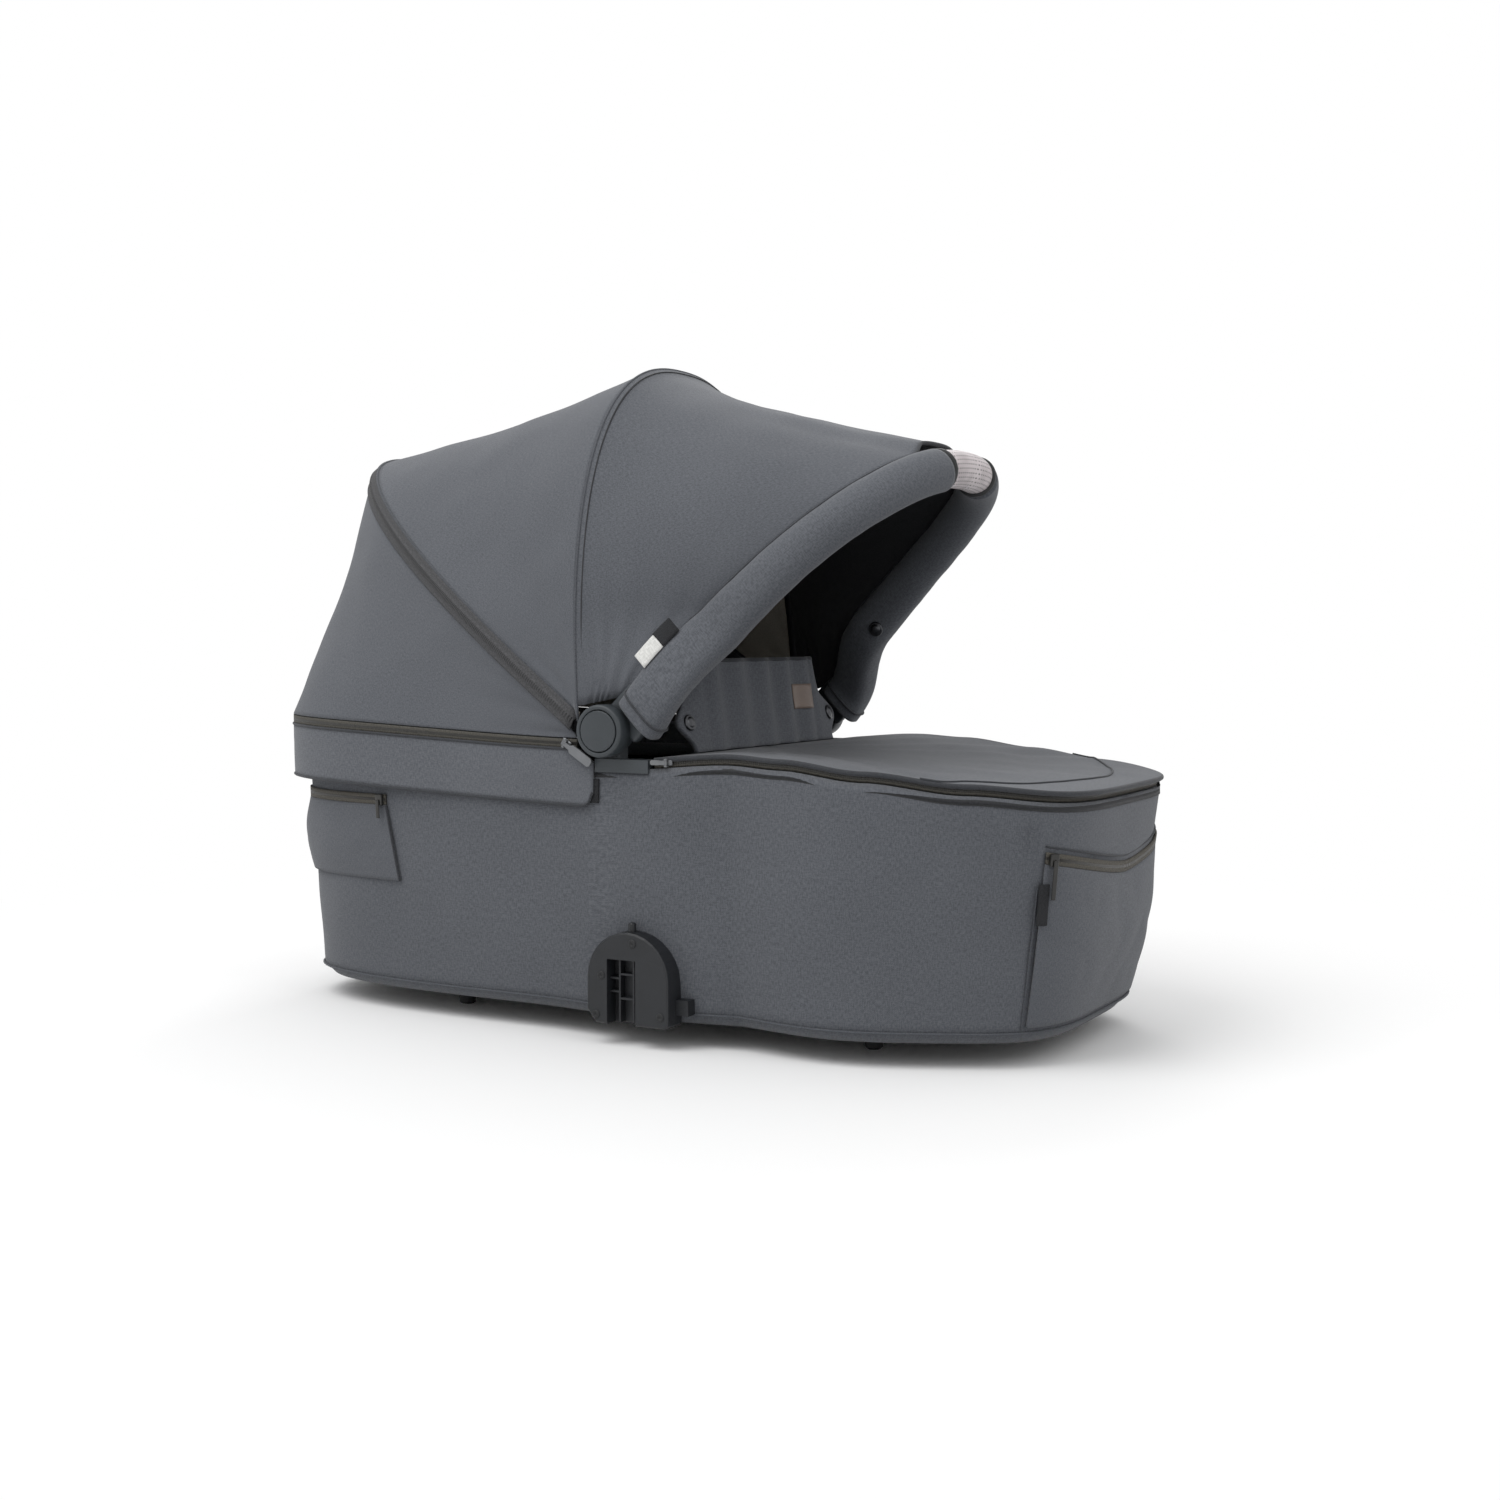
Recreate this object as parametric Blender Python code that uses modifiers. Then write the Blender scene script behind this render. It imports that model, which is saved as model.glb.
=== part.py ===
# Carrycot with a folding hood, modelled in metres, +Z up.
# +X points to the foot end and -X to the head end; the origin is on the floor under the middle.
import math
from collections import namedtuple

import bmesh
import bpy
import numpy as np
from mathutils import Matrix, Vector

# Tub outline
RIM_LENGTH = 0.835
RIM_WIDTH = 0.415
RIM_HEIGHT = 0.256
BASE_LENGTH = 0.812
BASE_WIDTH = 0.376
BASE_SHIFT = -0.008
SEAM_HEIGHT = 0.030
TRAY_HEIGHT = 0.020
WALL_BELLY = 0.0015
CORNER_POWER = 3.1
SIDE_BULGE = 0.012
BULGE_REACH = 0.130
WAIST_DEPTH = 0.018
WAIST_X = 0.220
WAIST_REACH = 0.120
# Share of the side wave that is gone at the rim, and rim heights as (x share, height share)
RIM_CALM_SHARE = 0.65
RIM_PROFILE_SHARES = (
    (-1.0, 0.965), (-0.15, 0.97), (0.05, 0.98), (0.25, 1.0),
    (0.46, 1.0), (0.70, 0.972), (0.90, 0.958), (1.0, 0.925),
)
OUTLINE_STEPS = 48
ROLL_STEPS = 6

# Tub layers, outside to inside
CLEARANCE = 0.0003
LAYER_GAP = 0.0008
COVER_THICKNESS = 0.0025
TRAY_THICKNESS = 0.003
TRAY_FLANGE = 0.034
FOOT_SLOPE = math.radians(50)
BOARD_THICKNESS = 0.003
LINING_THICKNESS = 0.007
RIM_TUBE_RADIUS = 0.005
RIM_TUBE_CLEARANCE = 0.0014
COVER_HEM = 0.005
COVER_EDGE_HEIGHT = 0.0215
TRAY_BEAD = 0.004
UPRIGHT_WIDTH = 0.026
UPRIGHT_THICKNESS = 0.0018
UPRIGHT_SETBACK = 0.0012

# Feet
FOOT_X = 0.225
FOOT_Y = 0.117
FOOT_RADIUS = 0.0085
FOOT_TAPER = 0.001
FOOT_COLLAR = 0.0125
FOOT_COLLAR_HEIGHT = 0.004
FOOT_ROUNDING = 0.002

# Mattress
MATTRESS_THICKNESS = 0.038
MATTRESS_MARGIN = 0.004
MATTRESS_CROWN = 0.004
MATTRESS_DRAW_IN = 0.010

# Hub, bracket and pivot; sideways places are distances from the middle plane
HUB_X = 0.005
HUB_Z = 0.284
HUB_FACE = 0.229
DISC_RADIUS = 0.025
DISC_THICKNESS = 0.019
DISC_BEVEL = 0.002
BUTTON_RADIUS = 0.0185
BUTTON_GAP = 0.0006
BUTTON_POCKET = 0.009
BUTTON_TRAVEL = 0.003
BUTTON_PROUD = 0.0006
EAR_RADIUS = 0.019
EAR_THICKNESS = 0.0135
RUNNING_GAP = 0.0005
BRACKET_FRONT = 0.043
BRACKET_BACK = 0.013
BRACKET_NECK_WIDTH = 0.022
BRACKET_DROP = 0.0035
BRACKET_LEDGE = 0.0045
PIN_RADIUS = 0.005
PIN_HEAD_RADIUS = 0.0085
PIN_HEAD_THICKNESS = 0.0025
ARM_LENGTH = 0.066
ARM_ROOT_WIDTH = 0.040
ARM_TIP_WIDTH = 0.030
ARM_INNER = 0.2005
ARM_OUTER = 0.213

# Bows of the hood: radius to the crown, lean above +X, half width at the hub,
# roundness and shift of the fabric's seam from the pivot
Bow = namedtuple("Bow", "radius lean half_width power shift")
FRONT_BOW = Bow(0.324, math.radians(44), 0.206, 2.45, 0.011)
MIDDLE_BOW = Bow(0.323, math.radians(96), 0.218, 2.25, -0.030)
REAR_BOW = Bow(0.390, math.radians(144), 0.216, 2.6, -0.022)
STRIP_WIDTH = 0.010
STRIP_THICKNESS = 0.003
STRIP_FLARE_START = 0.105
STRIP_FLARE_END = 0.205
STRIP_SPACING = 0.0015
STRIP_EYE_RADIUS = 0.0095
MIDDLE_STRIP_DEPTH = 0.0055
REAR_STRIP_DEPTH = 0.0085
HOOD_TAPE_WIDTH = 0.015
HOOD_TAPE_START = 0.042
HOOD_SAG = 0.009
PANEL_THICKNESS = 0.002
RIDGE_GAP = 0.0011
EDGE_GAP = 0.0017
MIDDLE_SEAM_START = 0.030
REAR_SAG = 0.007

# Front bow: tube, padded sleeve, grip and its end rings
BOW_TUBE_RADIUS = 0.0095
SLEEVE_START = 0.030
SLEEVE_WIDTH_LOW = 0.056
SLEEVE_WIDTH_HIGH = 0.039
SLEEVE_DEPTH = 0.033
SLEEVE_DROP_LOW = 0.012
SLEEVE_DROP_HIGH = 0.002
SLEEVE_TAPER_END = 0.230
SLEEVE_THICKNESS = 0.003
SLEEVE_POWER = 3.2
GRIP_LENGTH = 0.082
GRIP_RADIUS = 0.0175
RING_WIDTH = 0.006
RING_RADIUS = 0.0195
SLOT_LENGTH = 0.130
SLOT_DEPTH = 0.026

# Band round the head end, its zip, and the start of the rear panel
BAND_BOTTOM = 0.214
BAND_TOP = 0.267
BAND_END_DROP = 0.011
BAND_END_X = -0.010
BAND_OUTSET = 0.0033
HEAD_OUTSET = 0.0130
BAND_THICKNESS = 0.0025
ZIP_TAPE_HEIGHT = 0.008
ZIP_TAPE_THICKNESS = 0.002
BAND_ZIP_END = -0.028

# Apron over the foot end
APRON_START = 0.056
APRON_THICKNESS = 0.005
APRON_CROWN = 0.006
APRON_INSET = 0.002
APRON_ZIP_HEIGHT = 0.006
APRON_ZIP_INSET = 0.003
APRON_TIP = 0.016

# Wind flap that stands at the apron's front edge
FLAP_X = 0.066
FLAP_HEIGHT = 0.071
FLAP_WIDTH = 0.346
FLAP_THICKNESS = 0.005
FLAP_LEAN = 0.006
FLAP_FOLD_DEPTH = 0.0025
FLAP_FOLDS = 6
FLAP_BOW = 0.012
FLAP_FOOT_GAP = 0.0004
FLAP_EAR = 0.012
FLAP_EAR_HEIGHT = 0.027
FLAP_EAR_REACH = 0.024
POPPER_RADIUS = 0.0075
POPPER_HEIGHT = 0.003
SLEEVE_POPPER_REACH = 0.084

# Pockets on the outer cover
HEAD_POCKET_X = -0.232
HEAD_POCKET_BOTTOM = 0.129
HEAD_POCKET_TOP = 0.203
FOOT_POCKET_X = 0.392
FOOT_POCKET_BOTTOM = 0.036
FOOT_POCKET_TOP = 0.175
POCKET_THICKNESS = 0.0022
POCKET_BELLY = 0.004
POCKET_ZIP_HEIGHT = 0.010

# Zip sliders and pulls
SLIDER_LENGTH = 0.010
SLIDER_WIDTH = 0.0075
SLIDER_THICKNESS = 0.003
EYE_BAR_RADIUS = 0.0009
EYE_RADIUS = 0.0014
PULL_NECK_WIDTH = 0.004
PULL_TIP_WIDTH = 0.0085
PULL_THICKNESS = 0.0016
PULL_BOSS = 0.0026
BAND_PULL_LENGTH = 0.034
APRON_SLIDER_SHARE = 0.66
APRON_PULL_LENGTH = 0.0155
POCKET_PULL_LENGTH = 0.034

# Adapter housing that clips on a pushchair frame
ADAPTER_X = 0.030
ADAPTER_WIDTH = 0.085
ADAPTER_BOTTOM = 0.020
ADAPTER_TOP = 0.104
ADAPTER_FACE = 0.222
ADAPTER_BACK = 0.196
ADAPTER_CHAMFER = 0.009
ADAPTER_BEVEL = 0.0015
SOCKET_WIDTH = 0.030
SOCKET_OFFSET = -0.006
SOCKET_TOP = 0.079
SOCKET_DEPTH = 0.0145
RIB_THICKNESS = 0.0018
RIB_SETBACK = 0.0065
RIB_SPACING = 0.0145
RIB_SHIFT = 0.002
RIB_HEIGHTS = (0.043, 0.065)
SIDE_RIB_HEIGHTS = (0.049, 0.061)
NUB_RADIUS = 0.0036
NUB_PROUD = 0.008
NUB_TRAVEL = 0.004
NUB_LENGTH = 0.014
NUB_SETBACK = 0.010
LUG_LENGTH = 0.013
LUG_HEIGHT = 0.014
LUG_BOTTOM = 0.031
LUG_THICKNESS = 0.006

OVERRUN = 0.004
SIDES = {"right": -1, "left": 1}
FABRIC = (0.107, 0.112, 0.124)
DARK_FABRIC = (0.020, 0.021, 0.024)
ZIP_GREY = (0.095, 0.088, 0.075)
PLASTIC = (0.045, 0.053, 0.058)
BLACK = (0.012, 0.012, 0.013)
STEEL = (0.45, 0.46, 0.47)
METAL_GREY = (0.20, 0.21, 0.22)
LEATHER = (0.30, 0.27, 0.26)
FOAM_WHITE = (0.62, 0.61, 0.58)


def mix(low, high, share):
    return low + (high - low) * share


def smooth(share):
    share = min(max(share, 0.0), 1.0)
    return share * share * (3 - 2 * share)


def bump(share):
    if abs(share) >= 1:
        return 0.0
    return math.cos(math.pi * share / 2) ** 2


def signed_power(value, power):
    return math.copysign(abs(value) ** power, value)


# Scene, materials and general builders

def clear_scene():
    for item in list(bpy.data.objects):
        bpy.data.objects.remove(item, do_unlink=True)


def make_collection(name):
    collection = bpy.data.collections.new(name)
    bpy.context.scene.collection.children.link(collection)
    return collection


def make_material(name, colour, roughness, metallic=0.0):
    material = bpy.data.materials.new(name)
    material.use_nodes = True
    shader = material.node_tree.nodes["Principled BSDF"]
    shader.inputs["Base Color"].default_value = (*colour, 1.0)
    shader.inputs["Roughness"].default_value = roughness
    shader.inputs["Metallic"].default_value = metallic
    return material


def add_object(name, data, colour, roughness=0.9, metallic=0.0):
    item = bpy.data.objects.new(name, data)
    PARTS.objects.link(item)
    data.materials.append(make_material(name, colour, roughness, metallic))
    return item


def add_cutter(name, data):
    item = bpy.data.objects.new(name, data)
    CUTTERS.objects.link(item)
    item.hide_render = True
    item.display_type = "WIRE"
    return item


def finish_mesh(name, shape):
    bmesh.ops.remove_doubles(shape, verts=shape.verts, dist=0.00001)
    bmesh.ops.recalc_face_normals(shape, faces=shape.faces)
    data = bpy.data.meshes.new(name)
    shape.to_mesh(data)
    shape.free()
    data.shade_smooth()
    data.set_sharp_from_angle(angle=math.radians(35))
    return data


def combine(target, cutter, operation):
    modifier = target.modifiers.new(cutter.name, "BOOLEAN")
    modifier.operation = operation
    modifier.object = cutter
    modifier.solver = "EXACT"


def sheet_mesh(name, columns, rows, place, wrap=False):
    # A grid whose two shares, 0 to 1, are moved to their places on a surface.
    shape = bmesh.new()
    bmesh.ops.create_grid(shape, x_segments=columns, y_segments=rows, size=0.5)
    for vert in shape.verts:
        vert.co = place(vert.co.x + 0.5, vert.co.y + 0.5)
    if wrap:
        bmesh.ops.remove_doubles(shape, verts=shape.verts, dist=0.00001)
    data = bpy.data.meshes.new(name)
    shape.to_mesh(data)
    shape.free()
    data.shade_smooth()
    return data


def sheet(name, columns, rows, place, thickness, colour, wrap=False, roughness=0.9):
    # The grid is the outer face and the thickness goes inwards.
    item = add_object(name, sheet_mesh(name, columns, rows, place, wrap), colour, roughness)
    wall = item.modifiers.new("wall", "SOLIDIFY")
    wall.thickness = thickness
    wall.offset = -1
    wall.use_even_offset = True
    return item


def loft_mesh(name, rings):
    # Rings of equal count, joined in order; the two end rings are closed by flat caps.
    shape = bmesh.new()
    loops = [[shape.verts.new(point) for point in ring] for ring in rings]
    for lower, upper in zip(loops, loops[1:]):
        for index in range(len(lower)):
            following = (index + 1) % len(lower)
            shape.faces.new((lower[index], lower[following], upper[following], upper[index]))
    shape.faces.new(loops[0])
    shape.faces.new(loops[-1])
    return finish_mesh(name, shape)


def block_mesh(name, low, high, bevel=0.0):
    shape = bmesh.new()
    bmesh.ops.create_cube(shape, size=1.0)
    low, high = Vector(low), Vector(high)
    size = high - low
    bmesh.ops.scale(shape, vec=size, verts=shape.verts)
    bmesh.ops.translate(shape, vec=(low + high) / 2, verts=shape.verts)
    if bevel:
        bmesh.ops.bevel(shape, geom=shape.edges[:], offset=bevel, segments=1, profile=0.5, affect="EDGES")
    return finish_mesh(name, shape)


def cylinder_mesh(name, radius, near, far, centre_x, centre_z, sides, bevel=0.0, rings=1):
    # A cylinder along Y between two sideways places.
    shape = bmesh.new()
    bmesh.ops.create_cone(shape, cap_ends=True, segments=sides, radius1=radius, radius2=radius,
                          depth=abs(far - near))
    turn = Matrix.Rotation(math.pi / 2, 4, "X")
    place = Matrix.Translation((centre_x, (near + far) / 2, centre_z))
    bmesh.ops.transform(shape, matrix=place @ turn, verts=shape.verts)
    if bevel:
        rims = [edge for edge in shape.edges if len(edge.link_faces) == 2
                and any(len(face.verts) > 4 for face in edge.link_faces)]
        bmesh.ops.bevel(shape, geom=rims, offset=bevel, segments=rings, profile=0.5, affect="EDGES")
    return finish_mesh(name, shape)


def outline_mesh(name, points, near, far):
    # A flat outline in X and Z, extruded along Y between two sideways places.
    rings = [[(x, y, z) for x, z in points] for y in (near, far)]
    return loft_mesh(name, rings)


def turned(name, profile, steps, colour, roughness=0.6, metallic=0.0):
    # A profile of (radius, height) points from the top down, turned about Z.
    data = bpy.data.meshes.new(name)
    edges = [(index, index + 1) for index in range(len(profile) - 1)]
    data.from_pydata([(radius, 0, height) for radius, height in profile], edges, [])
    item = add_object(name, data, colour, roughness, metallic)
    screw = item.modifiers.new("turn", "SCREW")
    screw.steps = steps
    screw.render_steps = steps
    screw.use_merge_vertices = True
    screw.merge_threshold = 0.00005
    return item


def tube(name, points, radius, colour, cyclic=False, resolution=2, roughness=0.5, metallic=0.0):
    curve = bpy.data.curves.new(name, "CURVE")
    curve.dimensions = "3D"
    curve.bevel_depth = radius
    curve.bevel_resolution = resolution
    curve.use_fill_caps = not cyclic
    spline = curve.splines.new("POLY")
    spline.points.add(len(points) - 1)
    spline.use_cyclic_u = cyclic
    for target, point in zip(spline.points, points):
        target.co = (*point, 1.0)
    return add_object(name, curve, colour, roughness, metallic)


# Tub surface

def rim_height(x):
    share = x / (RIM_LENGTH / 2)
    shares, heights = zip(*RIM_PROFILE_SHARES)
    index = int(np.clip(np.searchsorted(shares, share) - 1, 0, len(shares) - 2))
    local = (share - shares[index]) / (shares[index + 1] - shares[index])
    return RIM_HEIGHT * mix(heights[index], heights[index + 1], smooth(local))


def side_wave(x, level):
    bulge = SIDE_BULGE * bump((x - ADAPTER_X) / BULGE_REACH)
    waist = WAIST_DEPTH * bump((x - WAIST_X) / WAIST_REACH)
    return (bulge - waist) * (1 - RIM_CALM_SHARE * level)


def outline_point(angle, level, inset=0.0):
    cosine, sine = math.cos(angle), math.sin(angle)
    belly = WALL_BELLY * 4 * level * (1 - level)
    half_length = mix(BASE_LENGTH, RIM_LENGTH, level) / 2 + belly - inset
    half_width = mix(BASE_WIDTH, RIM_WIDTH, level) / 2 + belly - inset
    x = BASE_SHIFT * (1 - level) + half_length * signed_power(cosine, 2 / CORNER_POWER)
    y = half_width * signed_power(sine, 2 / CORNER_POWER)
    return x, y + math.copysign(side_wave(x, level), y) * min(1.0, abs(y) / half_width * 2)


def wall_point(angle, level, inset=0.0):
    x, y = outline_point(angle, level, inset)
    return Vector((x, y, mix(SEAM_HEIGHT, rim_height(x), level)))


def wall_point_at(angle, height, outset):
    # The point of the wall at a height above the floor, pushed out.
    x, _ = outline_point(angle, 1)
    level = (height - SEAM_HEIGHT) / (rim_height(x) - SEAM_HEIGHT)
    point = wall_point(angle, level, -outset)
    point.z = height
    return point


def outline_table():
    # Shares of the way round against plan angles, closer together at the corners.
    angles = np.linspace(0, 2 * math.pi, 1441)
    points = np.array([outline_point(angle, 1) for angle in angles])
    steps = np.hypot(*np.diff(points, axis=0).T)
    lengths = np.concatenate(([0], np.cumsum(steps)))
    shares = (lengths / lengths[-1] + angles / (2 * math.pi)) / 2
    return shares, angles


def angle_at(share):
    return float(np.interp(share % 1.0 if share != 1 else 1.0, *OUTLINE_TABLE))


def slope_point(angle, height, depth):
    # Below the seam the sides slope in under the tub; depth is measured square to the surface.
    corner = slope_corner(depth)
    x, y = outline_point(angle, 0, depth + (corner - height) / math.tan(FOOT_SLOPE))
    return Vector((x, y, height))


def slope_corner(depth):
    return SEAM_HEIGHT + depth * (1 - math.sin(FOOT_SLOPE)) / math.cos(FOOT_SLOPE)


def share_at(x, side):
    # The share of the way round where the rim passes x on one side.
    cosine = signed_power(x / (RIM_LENGTH / 2), CORNER_POWER / 2)
    angle = math.acos(cosine) if side > 0 else 2 * math.pi - math.acos(cosine)
    shares, angles = OUTLINE_TABLE
    return float(np.interp(angle, angles, shares))


def stops_between(start, end):
    # Shares from start to end that fall on the cover's own facets in between.
    margin = 0.2 / OUTLINE_STEPS
    first, last = math.ceil((start + margin) * OUTLINE_STEPS), math.floor((end - margin) * OUTLINE_STEPS)
    return [start] + [index / OUTLINE_STEPS for index in range(first, last + 1)] + [end]


def wall_patch(name, start, end, low, high, outset, thickness, rows, colour, belly=0.0):
    # A sheet laid on the wall between two shares of the way round and two heights.
    stops = stops_between(start, end)
    columns = len(stops) - 1

    def place(across, up):
        angle = angle_at(stops[round(across * columns)])
        x, _ = outline_point(angle, 1)
        height = mix(low(x), high(x), up)
        puff = belly * math.sin(math.pi * up) * math.sin(math.pi * across)
        return wall_point_at(angle, height, outset(x) + puff)
    return sheet(name, columns, rows, place, thickness, colour)


RIM_RING = COVER_THICKNESS + RIM_TUBE_CLEARANCE + RIM_TUBE_RADIUS
WALL_TOP_DROP = RIM_RING + RIM_TUBE_RADIUS + RIM_TUBE_CLEARANCE
FLANGE_INSET = COVER_THICKNESS + LAYER_GAP
BOARD_INSET = FLANGE_INSET + TRAY_THICKNESS + LAYER_GAP
LINING_INSET = BOARD_INSET + BOARD_THICKNESS + LAYER_GAP
FLOOR_TOP = TRAY_HEIGHT + TRAY_THICKNESS
LINING_FLOOR = FLOOR_TOP + TRAY_BEAD + CLEARANCE


def wall_at_drop(angle, drop, inset):
    # The wall's point a distance below the rim.
    x, y = outline_point(angle, 1, inset)
    return Vector((x, y, rim_height(x) - drop))


def shell_place(steps):
    # Steps up a wall are functions of the angle; the grid's rows fall on them in order.
    def place(around, up):
        position = up * (len(steps) - 1)
        return steps[round(position)](angle_at(around))
    return place


def make_cover():
    def rolled(turn):
        inset = RIM_RING * (1 - math.cos(turn))
        return lambda angle: wall_at_drop(angle, RIM_RING * (1 - math.sin(turn)), inset)

    steps = [
        lambda angle: slope_point(angle, COVER_EDGE_HEIGHT, 0),
        lambda angle: wall_point(angle, 0),
        lambda angle: wall_point(angle, 0.33),
        lambda angle: wall_point(angle, 0.66),
    ]
    steps += [rolled(math.pi * index / ROLL_STEPS) for index in range(ROLL_STEPS + 1)]
    steps.append(lambda angle: wall_at_drop(angle, RIM_RING + COVER_HEM, 2 * RIM_RING))
    cover = sheet("outer_cover", OUTLINE_STEPS, len(steps) - 1, shell_place(steps),
                  COVER_THICKNESS, FABRIC, wrap=True)
    return cover


def make_rim_frame():
    points = [wall_at_drop(angle_at(index / OUTLINE_STEPS), RIM_RING, RIM_RING)
              for index in range(OUTLINE_STEPS)]
    tube("rim_frame", points, RIM_TUBE_RADIUS, STEEL, cyclic=True, resolution=1, metallic=0.9)


def make_wall_board():
    steps = [
        lambda angle: wall_point_at(angle, slope_corner(BOARD_INSET), -BOARD_INSET),
        lambda angle: wall_point(angle, 0.33, BOARD_INSET),
        lambda angle: wall_point(angle, 0.66, BOARD_INSET),
        lambda angle: wall_at_drop(angle, WALL_TOP_DROP + CLEARANCE, BOARD_INSET),
    ]
    sheet("wall_board", OUTLINE_STEPS, len(steps) - 1, shell_place(steps), BOARD_THICKNESS,
          FOAM_WHITE, wrap=True)


def floor_point(angle, inset, spread, height):
    x, y = outline_point(angle, 0, inset)
    return Vector((x * spread, y * spread, height))


def make_lining():
    floor = LINING_FLOOR
    steps = [
        lambda angle: floor_point(angle, LINING_INSET, 0, floor),
        lambda angle: floor_point(angle, LINING_INSET, 0.55, floor),
        lambda angle: slope_point(angle, floor, LINING_INSET),
        lambda angle: wall_point_at(angle, slope_corner(LINING_INSET), -LINING_INSET),
        lambda angle: wall_point(angle, 0.33, LINING_INSET),
        lambda angle: wall_point(angle, 0.66, LINING_INSET),
        lambda angle: wall_at_drop(angle, WALL_TOP_DROP + CLEARANCE, LINING_INSET),
    ]
    sheet("inner_lining", OUTLINE_STEPS, len(steps) - 1, shell_place(steps), LINING_THICKNESS,
          DARK_FABRIC, wrap=True)


def make_base_tray():
    # A moulded tray: a raised bead runs round its floor and a flange stands up inside the cover.
    low, high = TRAY_HEIGHT, TRAY_HEIGHT + TRAY_BEAD
    ring_shares = ((0, low), (0.56, low), (0.60, high), (0.70, high), (0.74, low))

    def ring(spread, height):
        return lambda angle: floor_point(angle, FLANGE_INSET, spread, height)

    steps = [ring(spread, height) for spread, height in ring_shares]
    steps += [
        lambda angle: slope_point(angle, low, FLANGE_INSET),
        lambda angle: wall_point_at(angle, slope_corner(FLANGE_INSET), -FLANGE_INSET),
        lambda angle: wall_point_at(angle, low + TRAY_FLANGE, -FLANGE_INSET),
    ]
    sheet("base_tray", OUTLINE_STEPS, len(steps) - 1, shell_place(steps), TRAY_THICKNESS,
          PLASTIC, wrap=True, roughness=0.5)


def make_uprights():
    # Flat bars that stand on the tray's flange behind each adapter and reach the rim tube.
    low = TRAY_HEIGHT + TRAY_FLANGE + CLEARANCE
    for label, side in SIDES.items():
        ends = sorted(share_at(ADAPTER_X + step * UPRIGHT_WIDTH / 2, side) for step in (-1, 1))
        wall_patch(f"side_upright_{label}", *ends, lambda x: low,
                   lambda x: rim_height(x) - WALL_TOP_DROP - CLEARANCE,
                   lambda x: -FLANGE_INSET - UPRIGHT_SETBACK, UPRIGHT_THICKNESS, 2, STEEL)


def make_feet():
    top = TRAY_HEIGHT - CLEARANCE
    profile = [
        (0, top), (FOOT_COLLAR, top), (FOOT_COLLAR, top - FOOT_COLLAR_HEIGHT * 0.6),
        (FOOT_RADIUS, top - FOOT_COLLAR_HEIGHT), (FOOT_RADIUS - FOOT_TAPER / 2, FOOT_ROUNDING),
        (FOOT_RADIUS - FOOT_TAPER / 2 - FOOT_ROUNDING, 0), (0, 0),
    ]
    for end, end_sign in (("head_end", -1), ("foot_end", 1)):
        for label, side in SIDES.items():
            foot = turned(f"{end}_foot_{label}", profile, 14, BLACK, roughness=0.7)
            foot.location = (end_sign * FOOT_X, side * FOOT_Y, 0)


def make_mattress():
    inset = LINING_INSET + LINING_THICKNESS + MATTRESS_MARGIN
    low = LINING_FLOOR + LINING_THICKNESS + CLEARANCE
    high = low + MATTRESS_THICKNESS
    # Rings as shares: spread, height, and how far the side is drawn in
    ring_shares = (
        (0, 0, 0), (0.93, 0, 0), (0.985, 0.22, 0.2), (1, 0.55, 1),
        (0.985, 0.85, 0.2), (0.93, 1, 0), (0.62, 1, 0), (0, 1, 0),
    )

    def ring(spread, rise, draw):
        def place(angle):
            corner = abs(math.sin(2 * angle))
            pull = MATTRESS_DRAW_IN * draw * (1 - corner)
            point = floor_point(angle, inset + pull, spread, mix(low, high, rise))
            point.z += MATTRESS_CROWN * (1 - spread * spread) * rise
            return point
        return place

    steps = [ring(*shares) for shares in ring_shares]
    shape = bmesh.new()
    bmesh.ops.create_grid(shape, x_segments=OUTLINE_STEPS, y_segments=len(steps) - 1, size=0.5)
    place = shell_place(steps)
    for vert in shape.verts:
        vert.co = place(vert.co.x + 0.5, vert.co.y + 0.5)
    add_object("mattress", finish_mesh("mattress", shape), FOAM_WHITE)


# Hood bows

def bow_point(bow, share, back=0.0, rise=0.0, spread=0.0):
    # share runs from -1 at the right hub over the crown at 0 to 1 at the left hub.
    angle = math.pi / 2 * (1 - abs(share))
    reach = (bow.radius + rise) * max(math.sin(angle), 0) ** (2 / bow.power)
    side = (bow.half_width + spread) * max(math.cos(angle), 0) ** (2 / bow.power)
    x = HUB_X + bow.shift + reach * math.cos(bow.lean) - back * math.sin(bow.lean)
    z = HUB_Z + reach * math.sin(bow.lean) + back * math.cos(bow.lean)
    return Vector((x, math.copysign(side, share), z))


def bow_share(bow, reach):
    # The share, counted from the crown, at which the bow is a given reach from the pivot.
    angle = math.asin(min(1.0, (reach / bow.radius) ** (bow.power / 2)))
    return 1 - angle / (math.pi / 2)


def strip_point(bow, share, depth, hub_side, back):
    # The strip follows the fabric from inside and closes in on the pivot near the hub.
    angle = math.pi / 2 * (1 - abs(share))
    reach = (bow.radius - depth) * max(math.sin(angle), 0) ** (2 / bow.power)
    side = (bow.half_width - depth) * max(math.cos(angle), 0) ** (2 / bow.power)
    flare = smooth((reach - STRIP_FLARE_START) / (STRIP_FLARE_END - STRIP_FLARE_START))
    if abs(share) > 0.5:
        side = mix(hub_side, side, flare)
    settled = smooth(reach / STRIP_FLARE_END)
    x = HUB_X + bow.shift * settled + reach * math.cos(bow.lean) - back * math.sin(bow.lean)
    z = HUB_Z + reach * math.sin(bow.lean) + back * math.cos(bow.lean)
    return Vector((x, math.copysign(side, share), z))


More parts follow.
